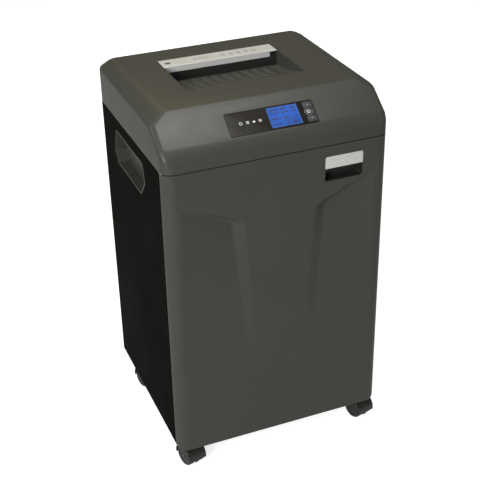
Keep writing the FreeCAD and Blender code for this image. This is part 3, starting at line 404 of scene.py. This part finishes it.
# ---- kept CAD nodes: rounded edges and materials ----------------------------------------
EDGE = {  # edge rounding of the kept nodes, in millimetres
    "side_panel_left": 0.8, "side_panel_right": 0.8, "base_panel": 0.6, "rear_panel": 0.6,
    "deck_plate": 0.3, "front_crossbar": 0.4, "hinge_brackets": 0.3, "waste_bin": 0.5, "label_bar": 0.4,
    "handle_plate": 0.3, "handle_pocket": 0.5, "cutter_plate_left": 0.4, "cutter_plate_right": 0.4,
    "motor_body": 0.8, "motor_saddle": 0.5, "power_inlet": 0.3, "rocker_frame": 0.3, "rocker_switch": 0.3,
    "control_board": 0.15, "main_board": 0.2, "magnet_catch": 0.4, "reed_switch": 0.3, "comb_front": 0.15,
    "comb_rear": 0.15,
}
FLAT_ABOVE = 20.0  # degrees: edges sharper than this keep flat faces on both sides
COPLANAR = math.radians(0.5)


def crease_group():
    """Smooth shading on round surfaces, crisp shading across real edges."""
    group = bpy.data.node_groups.new("crisp_edges", "GeometryNodeTree")
    for way in ("INPUT", "OUTPUT"):
        group.interface.new_socket("Geometry", in_out=way, socket_type="NodeSocketGeometry")
    add = group.nodes.new
    start, end = add("NodeGroupInput"), add("NodeGroupOutput")
    angle = add("GeometryNodeInputMeshEdgeAngle")
    plain = add("GeometryNodeRemoveAttribute")
    faces, edges = (add("GeometryNodeSetShadeSmooth") for _ in range(2))
    plain.inputs["Name"].default_value = "custom_normal"
    sharp = add("FunctionNodeCompare")
    sharp.operation = "GREATER_THAN"
    sharp.inputs[1].default_value = math.radians(FLAT_ABOVE)
    edges.domain = "EDGE"
    edges.inputs["Shade Smooth"].default_value = False
    links = ((start.outputs[0], plain.inputs[0]), (plain.outputs[0], faces.inputs[0]),
             (faces.outputs[0], edges.inputs[0]), (angle.outputs["Unsigned Angle"], sharp.inputs[0]),
             (sharp.outputs[0], edges.inputs["Selection"]), (edges.outputs[0], end.inputs[0]))
    for source, target in links:
        group.links.new(source, target)
    return group


CRISP = crease_group()


def dress(name, obj):
    """Material and edges of a node that stays in the picture."""
    obj.data.materials.clear()
    obj.data.materials.append(MATERIALS[SLOT_OF[name]])
    weld = obj.modifiers.new("weld", "WELD")
    weld.merge_threshold = TOUCH
    flat = obj.modifiers.new("flat", "DECIMATE")
    flat.decimate_type = "DISSOLVE"
    flat.angle_limit = COPLANAR
    if name in EDGE:
        bevel(obj, EDGE[name] * MM)
    if name != "paper_ramp":  # its shallow grooves stay soft
        obj.modifiers.new("crisp", "NODES").node_group = CRISP


for node_name, node in NODES.items():
    dress(node_name, node)


# ---- door: one smooth moulding with the pressed-in flanks --------------------------------
# The flanks lie behind a middle panel whose edges, the ridges, lean outward to the top.
RIDGE_X0, RIDGE_X1 = 62.5 * MM, 77.5 * MM
VALLEY_X0, VALLEY_X1 = 83.5 * MM, 102.0 * MM
RIDGE_Z0, RIDGE_Z1 = 380 * MM, 600 * MM
FADE_Z = 235 * MM  # the flanks run out into the flat face here
FULL_DEPTH = 12.5 * MM
FLANK_END = 208 * MM
TOP_EDGE_X, TOP_EDGE_Z, TOP_EDGE_RISE = 104 * MM, 612.5 * MM, 0.44
TOP_BEVEL = 6.5 * MM
BLUR = 2.2 * MM

HEEL_FROM, HEEL_SWEEP = math.radians(115), math.radians(65)  # the rounded edge at the hinge
FRONT_COLUMNS, DOOR_ROWS = 170, 220
LOWER_CORNER_R = 20 * MM
FIT = 0.2 * MM  # clearance round the parts that sit in the door
CLEAR = 10 * MM  # how far a cut runs out past the surface
PLATE_CORNER_R, WELL_CORNER_R = 5.2 * MM, 7.2 * MM
PLATE_LIP = 2 * MM  # the plate's opening starts this far above the pocket's foot
REAR_RIM = 3 * MM
LEFT_RIM, RIGHT_RIM = 16.9 * MM, 3.1 * MM
NOTCH_REACH = 8 * MM
BUSH_R, BUSH_LENGTH = 4.55 * MM, 14.5 * MM
DOOR_EDGE = 0.7 * MM
ROUNDED_ABOVE, DOOR_CREASE = 50, 35  # degrees


def clamp(value, low=0.0, high=1.0):
    return max(low, min(high, value))


def sculpt_depth(x, z):
    """How far the door's face lies behind its front plane, before softening."""
    x = abs(x)
    along = (z - RIDGE_Z0) / (RIDGE_Z1 - RIDGE_Z0)
    ridge = RIDGE_X0 + (RIDGE_X1 - RIDGE_X0) * along
    valley = VALLEY_X0 + (VALLEY_X1 - VALLEY_X0) * along
    deepest = FULL_DEPTH * clamp((z - FADE_Z) / (RIDGE_Z1 - FADE_Z), 0, 1.1) ** 1.15
    strip = clamp((x - ridge) / (valley - ridge))
    flank = clamp((FLANK_END - x) / (FLANK_END - valley)) ** 0.7
    under = clamp((TOP_EDGE_Z + (x - TOP_EDGE_X) * TOP_EDGE_RISE - z) / TOP_BEVEL)
    return deepest * min(strip, flank) * under


SPREAD = [(i * BLUR, j * BLUR) for i in (-1, 0, 1) for j in (-1, 0, 1)]


def soft_depth(x, z):
    return sum(sculpt_depth(x + a, z + b) for a, b in SPREAD) / len(SPREAD)


def door_plan():
    """The door's outer face seen from above, from the hinge edge round to the free edge."""
    arc_y = FRONT + CORNER_R
    left, right = CORNER_R - HALF, HALF - CORNER_R
    start = math.asin((arc_y - HINGE_Y) / CORNER_R)
    plan = arc(HINGE_X, HINGE_Y, HINGE_X + HALF, HEEL_FROM, HEEL_SWEEP, 6)
    plan += arc(left, arc_y, CORNER_R, math.pi + start, QUARTER - start, 14, first=1)
    plan += [(left + (right - left) * k / FRONT_COLUMNS, FRONT) for k in range(1, FRONT_COLUMNS)]
    plan += arc(right, arc_y, CORNER_R, math.pi + QUARTER, QUARTER, 14)
    return plan + [(HALF, DOOR_HI.y)]


def door_sheet(bm, plan, behind):
    """A grid of points over the sculpted face, or over the flat back behind it."""
    sheet = []
    for r in range(DOOR_ROWS + 1):
        line = []
        for x, y in plan:
            if behind:
                x = max(x, plan[0][0])
            reach = abs(x) - (HALF - LOWER_CORNER_R)
            lift = 0.0
            if reach > 0:
                lift = LOWER_CORNER_R - math.sqrt(LOWER_CORNER_R**2 - min(reach, LOWER_CORNER_R) ** 2)
            z0 = DOOR_LO.z + lift
            z = z0 + (DOOR_HI.z - z0) * r / DOOR_ROWS
            depth = soft_depth(x, z) if abs(y - FRONT) < TOUCH and not behind else 0.0
            line.append(bm.verts.new((x, DOOR_HI.y if behind else y + depth, z)))
        sheet.append(line)
    return sheet


def door_solid():
    """The two sheets and the four edges that join them."""
    plan = door_plan()
    bm = bmesh.new()
    face, back = (door_sheet(bm, plan, behind) for behind in (False, True))
    rows, last = range(DOOR_ROWS), len(plan) - 1
    for sheet, turn in ((face, 1), (back, -1)):
        for r in rows:
            for c in range(last):
                quad = (sheet[r][c], sheet[r][c + 1], sheet[r + 1][c + 1], sheet[r + 1][c])
                bm.faces.new(quad[::turn])
    for r in (0, DOOR_ROWS):
        for c in range(last):
            bm.faces.new((face[r][c], back[r][c], back[r][c + 1], face[r][c + 1]))
    for c in (0, last):
        for r in rows:
            bm.faces.new((face[r][c], face[r + 1][c], back[r + 1][c], back[r][c]))
    bmesh.ops.remove_doubles(bm, verts=bm.verts, dist=TOUCH)
    bmesh.ops.dissolve_degenerate(bm, edges=bm.edges, dist=TOUCH / 10)
    return bm


def door_cutters():
    """The pull's opening and well, the hollow of the inner panel, and the hinge's notch and bores."""
    behind = DOOR_HI.y + CLEAR
    panel_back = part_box("door_inner_panel")[0].y - FIT
    opening = rounded_outline(PLATE_LO.x - FIT, PLATE_HI.x + FIT, POCKET_LO.z + PLATE_LIP - FIT,
                              PLATE_HI.z + FIT, PLATE_CORNER_R)
    well = rounded_outline(POCKET_LO.x - FIT, POCKET_HI.x + FIT, POCKET_LO.z - FIT, POCKET_HI.z + FIT,
                           WELL_CORNER_R)
    cutters = [prism_cutter("opening", opening, FRONT - CLEAR, FRONT + SKIN, on_front),
               prism_cutter("well", well, FRONT + SKIN - FIT, behind, on_front),
               cut_box("rear", LEFT_RIM - HALF, HALF - RIGHT_RIM, panel_back, behind,
                       DOOR_LO.z + REAR_RIM, DOOR_HI.z - REAR_RIM),
               cut_box("notch", -HALF - CLEAR, HINGE_X + NOTCH_REACH, HINGE_Y - NOTCH_REACH, behind,
                       DOOR_LO.z - CLEAR, BUSH_LO.z)]
    ring = arc(HINGE_X, HINGE_Y, BUSH_R, 0.0, 4 * QUARTER, 24)[:-1]
    lower, upper = BUSH_LO.z + BUSH_LENGTH, BUSH_HI.z - BUSH_LENGTH
    for z0, z1 in ((BUSH_LO.z - CLEAR, lower), (upper, BUSH_HI.z + CLEAR)):
        cutters.append(prism_cutter("bore", ring, z0, z1))
    return cutters


def build_door():
    door = piece_from("door_moulding", door_solid(), "door", MATERIALS["housing"], ["door_shell"])
    cut_with(door, door_cutters())
    bevel(door, DOOR_EDGE, ROUNDED_ABOVE)
    apply_modifiers(door)
    smooth_by_angle(door, DOOR_CREASE)


build_door()


# ---- head: soft-cornered cover -----------------------------------------------------------
EDGE_WIDTH = {  # rounding of each kind of edge, in millimetres
    "corner": 26.0, "cheek": 13.0, "slope_end": 12.0, "slope_foot": 3.0, "slope_top": 2.5,
    "shoulder": 12.0, "brow": 9.0, "rear": 3.0, "rear_top": 2.0, "bottom": 0.0,
}
CHAMFER_X, CHAMFER_Z = 28 * MM, 15 * MM
LENS_V0, LENS_V1 = -83.8 * MM, -30.2 * MM  # the panel's foot and top, measured up the slope
RECESS_DEPTH, RECESS_FLARE = 8 * MM, 0.6 * MM
WINDOW_DEPTH, WINDOW_FLARE, WINDOW_CORNER_R = 6 * MM, 0.4 * MM, 4 * MM
HEAD_CREASE = 24  # degrees


def head_block(inset, floor):
    """The head's flat faces without rounding, drawn in by inset and standing on floor."""
    face = Vector((0, -math.sin(SLOPE), math.cos(SLOPE)))
    planes = [(Vector((0, 0, -1)), -floor), (Vector((0, 0, 1)), TOP - inset),
              (Vector((0, -1, 0)), -FRONT - inset), (Vector((0, 1, 0)), BACK - inset),
              (face, face.dot(Vector((0, FRONT, SLOPE_FOOT_Z))) - inset)]
    for side in (-1, 1):
        lean = Vector((side * CHAMFER_Z, 0, CHAMFER_X)).normalized()
        planes += [(Vector((side, 0, 0)), HALF - inset),
                   (lean, lean.dot(Vector((side * HALF, 0, TOP - CHAMFER_Z))) - inset)]
    bm = bmesh.new()
    for (n0, d0), (n1, d1), (n2, d2) in itertools.combinations(planes, 3):
        volume = n0.dot(n1.cross(n2))
        if abs(volume) > 1e-6:
            point = (n1.cross(n2) * d0 + n2.cross(n0) * d1 + n0.cross(n1) * d2) / volume
            if all(n.dot(point) <= d + 1e-7 for n, d in planes):
                bm.verts.new(point)
    bmesh.ops.remove_doubles(bm, verts=bm.verts, dist=TOUCH)
    bmesh.ops.convex_hull(bm, input=bm.verts)
    bmesh.ops.dissolve_limit(bm, angle_limit=COPLANAR, verts=bm.verts, edges=bm.edges)
    return bm


def edge_kind(edge, inset, floor):
    """Which of the head's edges this is, from where its ends lie."""
    a, b = sorted((v.co for v in edge.verts), key=lambda p: p.z)
    half, front, back = HALF - inset, FRONT + inset, BACK - inset
    rise = b.z - a.z
    at_side = all(abs(abs(p.x) - half) < TOUCH for p in (a, b))
    at_front = all(abs(p.y - front) < TOUCH for p in (a, b))
    at_back = all(abs(p.y - back) < TOUCH for p in (a, b))
    if b.z < floor + TOUCH:
        return "bottom"
    if at_back:
        return "rear" if at_side and rise > 20 * MM else "rear_top"
    if at_side and at_front:
        return "corner"
    if at_front:
        return "slope_foot"
    if at_side:
        return "cheek" if rise > 10 * MM else "brow"
    if abs(a.x - b.x) > 200 * MM:
        return "slope_top"
    return "slope_end" if rise > 0.1 * MM else "shoulder"


def rounded_head(name, inset=0.0, floor=HEAD_LO.z):
    """The head's block with every edge rounded to its own width."""
    bm = head_block(inset, floor)
    weight = bm.edges.layers.float.new("bevel_weight_edge")
    for edge in bm.edges:
        width = EDGE_WIDTH[edge_kind(edge, inset, floor)]
        width = max(width - inset / MM, 0.3) if width else 0.0
        edge[weight] = width / EDGE_WIDTH["corner"]
    block = solid_from(name, bm)
    rounding = block.modifiers.new("rounding", "BEVEL")
    rounding.limit_method = "WEIGHT"
    rounding.width = EDGE_WIDTH["corner"] * MM
    rounding.segments = 8
    apply_modifiers(block)
    return block


def flared_cutter(name, outline, depth, flare, place):
    """A straight-sided cut that widens from flare below the surface, which leaves a small chamfer."""
    cu = sum(p[0] for p in outline) / len(outline)
    cv = sum(p[1] for p in outline) / len(outline)
    ru, rv = (max(abs(p[i] - c) for p in outline) for i, c in ((0, cu), (1, cv)))
    bm = bmesh.new()
    rings = []
    for w, grow in ((-depth, 0.0), (-flare, 0.0), (10 * flare, 11 * flare)):
        su, sv = (ru + grow) / ru, (rv + grow) / rv
        rings.append([bm.verts.new(place(cu + (u - cu) * su, cv + (v - cv) * sv, w)) for u, v in outline])
    bm.faces.new(rings[0][::-1])
    bm.faces.new(rings[-1])
    for low, high in zip(rings, rings[1:]):
        for i in range(len(outline)):
            j = (i + 1) % len(outline)
            bm.faces.new((low[i], low[j], high[j], high[i]))
    return solid_from(name, bm)


def build_head():
    head = rounded_head("head_moulding")
    head.data.materials.append(MATERIALS["housing"])
    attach(head, "cabinet")
    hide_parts("head_cover")
    inner = rounded_head("inside", SKIN, HEAD_LO.z - 2 * CLEAR)
    ramp_lo, ramp_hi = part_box("paper_ramp")
    throat = [(ramp_lo.x, ramp_lo.y), (ramp_hi.x, ramp_lo.y), (ramp_hi.x, ramp_hi.y), (ramp_lo.x, ramp_hi.y)]
    recess = flared_cutter("recess", throat, RECESS_DEPTH, RECESS_FLARE, lambda u, v, w: (u, v, TOP + w))
    outline = rounded_outline(LENS_LO.x, LENS_HI.x, LENS_V0, LENS_V1, WINDOW_CORNER_R)
    window = flared_cutter("window", outline, WINDOW_DEPTH, WINDOW_FLARE, on_slope)
    cut_with(head, [inner, recess, window])
    smooth_by_angle(head, HEAD_CREASE)


build_head()


# ---- printed marks on the bar, the panel, the display and the keys -------------------------
INK = 0.08 * MM  # thickness of a printed mark


def add_bar(bm, u0, u1, v0, v1, w, place):
    prism(bm, [(u0, v0), (u1, v0), (u1, v1), (u0, v1)], w, w + INK, place)


def add_frame(bm, u0, u1, v0, v1, line, w, place, gap=0.0):
    """Four bars round a rectangle; the upright ones stop short of the others by gap."""
    low, high = v0 + line + gap, v1 - line - gap
    for bar in ((u0, u1, v0, v0 + line), (u0, u1, v1 - line, v1), (u0, u0 + line, low, high),
                (u1 - line, u1, low, high)):
        add_bar(bm, *bar, w, place)


def add_ring(bm, u, v, outer, inner, w, place, start=0.0, sweep=360.0, steps=28):
    """A flat ring, or part of one, as joined quads with thickness."""
    full = sweep >= 359.9
    count = steps if full else steps + 1
    rings = []
    for k in range(count):
        a = math.radians(start + sweep * k / steps)
        c, s = math.cos(a), math.sin(a)
        section = ((inner, w), (outer, w), (outer, w + INK), (inner, w + INK))
        rings.append([bm.verts.new(place(u + r * c, v + r * s, h)) for r, h in section])
    for k in range(count if full else count - 1):
        a, b = rings[k], rings[(k + 1) % count]
        for i in range(4):
            j = (i + 1) % 4
            bm.faces.new((a[i], a[j], b[j], b[i]))
    if not full:
        bm.faces.new(rings[0][::-1])
        bm.faces.new(rings[-1])


def add_triangle(bm, u, v, size, w, place, up=True):
    sign = 1 if up else -1
    base, tip = v - sign * size * 0.6, v + sign * size * 0.8
    prism(bm, [(u - size, base), (u + size, base), (u, tip)][::sign], w, w + INK, place)


def build_bar_marks():
    """Small pictograms of what may be fed, printed along the silver strip."""
    bm = bmesh.new()
    z = BAR_HI.z + 0.02 * MM
    mid = (BAR_LO.y + BAR_HI.y) / 2
    add_bar(bm, -120 * MM, -108 * MM, mid - 4 * MM, mid + 4 * MM, z, in_plan)
    for x in (-52, -40, -28):  # sheets
        add_frame(bm, (x - 3.5) * MM, (x + 3.5) * MM, mid - 4.5 * MM, mid + 4.5 * MM, 0.8 * MM, z, in_plan,
                  gap=0.1 * MM)
    for x in (12, 30, 48, 66, 84):  # rings round the other signs
        add_ring(bm, x * MM, mid, 4.8 * MM, 4.0 * MM, z, in_plan)
    for x in (12, 48):
        add_ring(bm, x * MM, mid, 1.6 * MM, 0.9 * MM, z, in_plan)
    add_bar(bm, 26 * MM, 34 * MM, mid - 0.5 * MM, mid + 0.5 * MM, z, in_plan)
    add_bar(bm, 65.5 * MM, 66.5 * MM, mid - 3 * MM, mid + 3 * MM, z, in_plan)
    add_triangle(bm, 84 * MM, mid, 2.2 * MM, z, in_plan)
    piece_from("bar_pictograms", bm, "cabinet", PRINT_DARK)


# Places on the slope: u across, v up from its top edge, w outward from the housing's surface.
LCD_U0, LCD_U1, LCD_V0, LCD_V1 = -6.0 * MM, 59.5 * MM, -79.3 * MM, -33.3 * MM
GLASS_W = -0.38 * MM
PANEL_W = 0.42 * MM
BUTTON_W = 0.92 * MM
STATUS_V = -57.0 * MM
STRIPES, STRIPE = (-2.6 * MM, -0.4 * MM, 1.8 * MM), 0.8 * MM  # three strokes side by side, and their width
KEY_U, POWER_U, POWER_V = 81.5 * MM, 79.0 * MM, -56.6 * MM
BORDER_LINE = 0.9 * MM
SEGMENT_ROWS = (  # in millimetres: a row's middle height, then where each dash starts and ends
    (-40.0, ((-1, 9), (11, 17), (24, 34), (44, 54))),
    (-47.5, ((-1, 4), (6, 13), (24, 30), (32, 38), (46, 54))),
    (-60.0, ((-1, 12), (15, 19), (24, 36), (44, 48), (50, 54))),
    (-72.5, ((-1, 7), (9, 17), (30, 34), (41, 54))),
)
SURROUND_BARS = (  # in millimetres: the plain field round the keys, as left, right, foot and top
    (71.0, 92.0, -34.0, -32.9), (71.0, 92.0, -80.3, -79.2), (92.1, 92.7, -79.2, -34.0),
    (88.2, 91.6, -65.0, -48.2), (71.0, 88.0, -49.2, -48.2), (71.0, 88.0, -65.1, -65.0),
)


def build_display():
    """Border and generic segment marks of the display."""
    bm = bmesh.new()
    add_frame(bm, LCD_U0, LCD_U1, LCD_V0, LCD_V1, BORDER_LINE, GLASS_W, on_slope)
    piece_from("display_border", bm, "cabinet", PRINT_BORDER)
    bm = bmesh.new()
    for v, dashes in SEGMENT_ROWS:
        for u0, u1 in dashes:
            add_bar(bm, u0 * MM, u1 * MM, (v - 1.4) * MM, (v + 1.4) * MM, GLASS_W, on_slope)
    for u in (27, 33, 39, 45):
        add_ring(bm, u * MM, -66.3 * MM, 1.9 * MM, 1.1 * MM, GLASS_W, on_slope)
    piece_from("display_segments", bm, "cabinet", PRINT_SEGMENT)


def build_panel_marks():
    """Four plain status pictograms to the left of the display."""
    bm = bmesh.new()
    add_ring(bm, -66 * MM, STATUS_V, 3.2 * MM, 2.5 * MM, PANEL_W, on_slope)
    for v in (STATUS_V + stripe for stripe in STRIPES):
        add_bar(bm, -54.5 * MM, -48.5 * MM, v, v + STRIPE, PANEL_W, on_slope)
    add_triangle(bm, -38 * MM, STATUS_V, 3.2 * MM, PANEL_W, on_slope)
    for u in (-25 * MM + stripe for stripe in STRIPES):
        add_bar(bm, u, u + STRIPE, STATUS_V - 2.8 * MM, STATUS_V + 2.8 * MM, PANEL_W, on_slope)
    piece_from("panel_pictograms", bm, "cabinet", PRINT_LIGHT)


def build_key_marks():
    """Arrows and the standby sign on the keys, and the ring and the field round them."""
    arrows = (("forward_arrow", "forward_key", -41.0, True), ("reverse_arrow", "reverse_key", -72.2, False))
    for name, body, v, up in arrows:
        bm = bmesh.new()
        add_triangle(bm, KEY_U, v * MM, 3.0 * MM, BUTTON_W, on_slope, up)
        piece_from(name, bm, body, PRINT_DIM)
    bm = bmesh.new()
    add_ring(bm, POWER_U, POWER_V, 3.6 * MM, 2.8 * MM, BUTTON_W, on_slope, start=120, sweep=300)
    foot, top = POWER_V + 0.6 * MM, POWER_V + 4.2 * MM
    add_bar(bm, POWER_U - 0.4 * MM, POWER_U + 0.4 * MM, foot, top, BUTTON_W, on_slope)
    piece_from("power_mark", bm, "power_key", PRINT_LIGHT)
    bm = bmesh.new()
    add_ring(bm, POWER_U, POWER_V, 8.6 * MM, 7.6 * MM, PANEL_W, on_slope, steps=40)
    piece_from("power_ring", bm, "cabinet", PRINT_DIM)
    bm = bmesh.new()
    for u0, u1, v0, v1 in SURROUND_BARS:
        add_bar(bm, u0 * MM, u1 * MM, v0 * MM, v1 * MM, PANEL_W, on_slope)
    piece_from("key_surround", bm, "cabinet", KEY_SURROUND)


build_bar_marks()
build_display()
build_panel_marks()
build_key_marks()


# ---- stage, lights and camera ------------------------------------------------------------
FLOOR_HALF = 30.0
FLOOR_GLOW, FLOOR_WHITE = 0.12, 0.80  # the floor's emission as the object sees it, and as the camera does
ROOM_LIGHT = (0.17, 0.163, 0.14)


def build_stage():
    """A wide floor that looks white without lighting the object as much."""
    bm = bmesh.new()
    for x, y in ((-1, -1), (1, -1), (1, 1), (-1, 1)):
        bm.verts.new((x * FLOOR_HALF, y * FLOOR_HALF, 0.0))
    bm.faces.new(bm.verts)
    floor = object_from("floor", bm)
    n = Nodes("floor_paint")
    mottle = n.noise(3.0, 2.0)
    tint = n.mix(mottle, rgba(0.48, 0.48, 0.48), rgba(0.52, 0.52, 0.52))
    seen = n.add("ShaderNodeLightPath").outputs["Is Camera Ray"]
    glow = n.remap(seen, 0, 1, FLOOR_GLOW, FLOOR_WHITE)
    floor.data.materials.append(n.finish(Base_Color=tint, Roughness=0.9, Specular_IOR_Level=0.0,
                                         Emission_Color=rgba(1, 1, 1), Emission_Strength=glow))


LIGHTS = (  # name, place, what it points at, width and height in metres, watts, colour
    ("overhead", (0.22, -0.45, 3.2), (0, -0.1, 0.8), (0.9, 0.9), 42.0, (1.0, 0.99, 0.97)),
    ("front_left", (-2.65, -2.55, 2.2), (0, 0, 0.5), (1.6, 1.6), 172.0, (1.0, 1.0, 1.0)),
    ("warm_back", (0.3, 2.2, 3.4), (0, 0, 0.8), (1.2, 1.2), 13.0, (1.0, 0.9, 0.35)),
    ("left_edge", (-2.6, 0.7, 2.15), (-0.24, -0.15, 0.78), (0.35, 0.35), 12.0, (1.0, 1.0, 1.0)),
    ("rear_fill", (0.3, 3.4, 0.45), (0, 0, 0.45), (1.2, 0.6), 32.0, (1.0, 1.0, 1.0)),
)
CAMERA_PLACE = (-0.7692, -1.9273, 1.6166)
CAMERA_TURN = (1.05199, 0.019309, -0.387741)  # radians
FOCAL_LENGTH = 79.755  # millimetres


def area_light(name, place, target, size, power, colour):
    data = bpy.data.lights.new(name, "AREA")
    data.shape = "RECTANGLE"
    data.size, data.size_y = size
    data.energy = power
    data.color = colour
    light = bpy.data.objects.new(name, data)
    light.location = place
    aim = Vector(target) - Vector(place)
    light.rotation_euler = aim.to_track_quat("-Z", "Y").to_euler()
    light.visible_camera = False
    bpy.context.scene.collection.objects.link(light)


def build_world():
    """A white backdrop that lights the object only dimly."""
    world = bpy.data.worlds.new("studio")
    world.use_nodes = True
    tree = world.node_tree
    background = tree.nodes["Background"]
    background.inputs["Strength"].default_value = 1.0
    path = tree.nodes.new("ShaderNodeLightPath")
    mix = tree.nodes.new("ShaderNodeMix")
    mix.data_type = "RGBA"
    mix.inputs[6].default_value = rgba(*ROOM_LIGHT)
    mix.inputs[7].default_value = rgba(1, 1, 1)
    tree.links.new(path.outputs["Is Camera Ray"], mix.inputs[0])
    tree.links.new(mix.outputs[2], background.inputs["Color"])
    bpy.context.scene.world = world


def build_camera():
    data = bpy.data.cameras.new("camera")
    data.sensor_width = 36.0
    data.lens = FOCAL_LENGTH
    data.clip_start, data.clip_end = 0.1, 100.0
    camera = bpy.data.objects.new("camera", data)
    camera.location = CAMERA_PLACE
    camera.rotation_euler = CAMERA_TURN
    bpy.context.scene.collection.objects.link(camera)
    bpy.context.scene.camera = camera


build_stage()
build_world()
for light in LIGHTS:
    area_light(*light)
build_camera()

view = bpy.context.scene.view_settings
view.view_transform = "Standard"
view.look = "None"
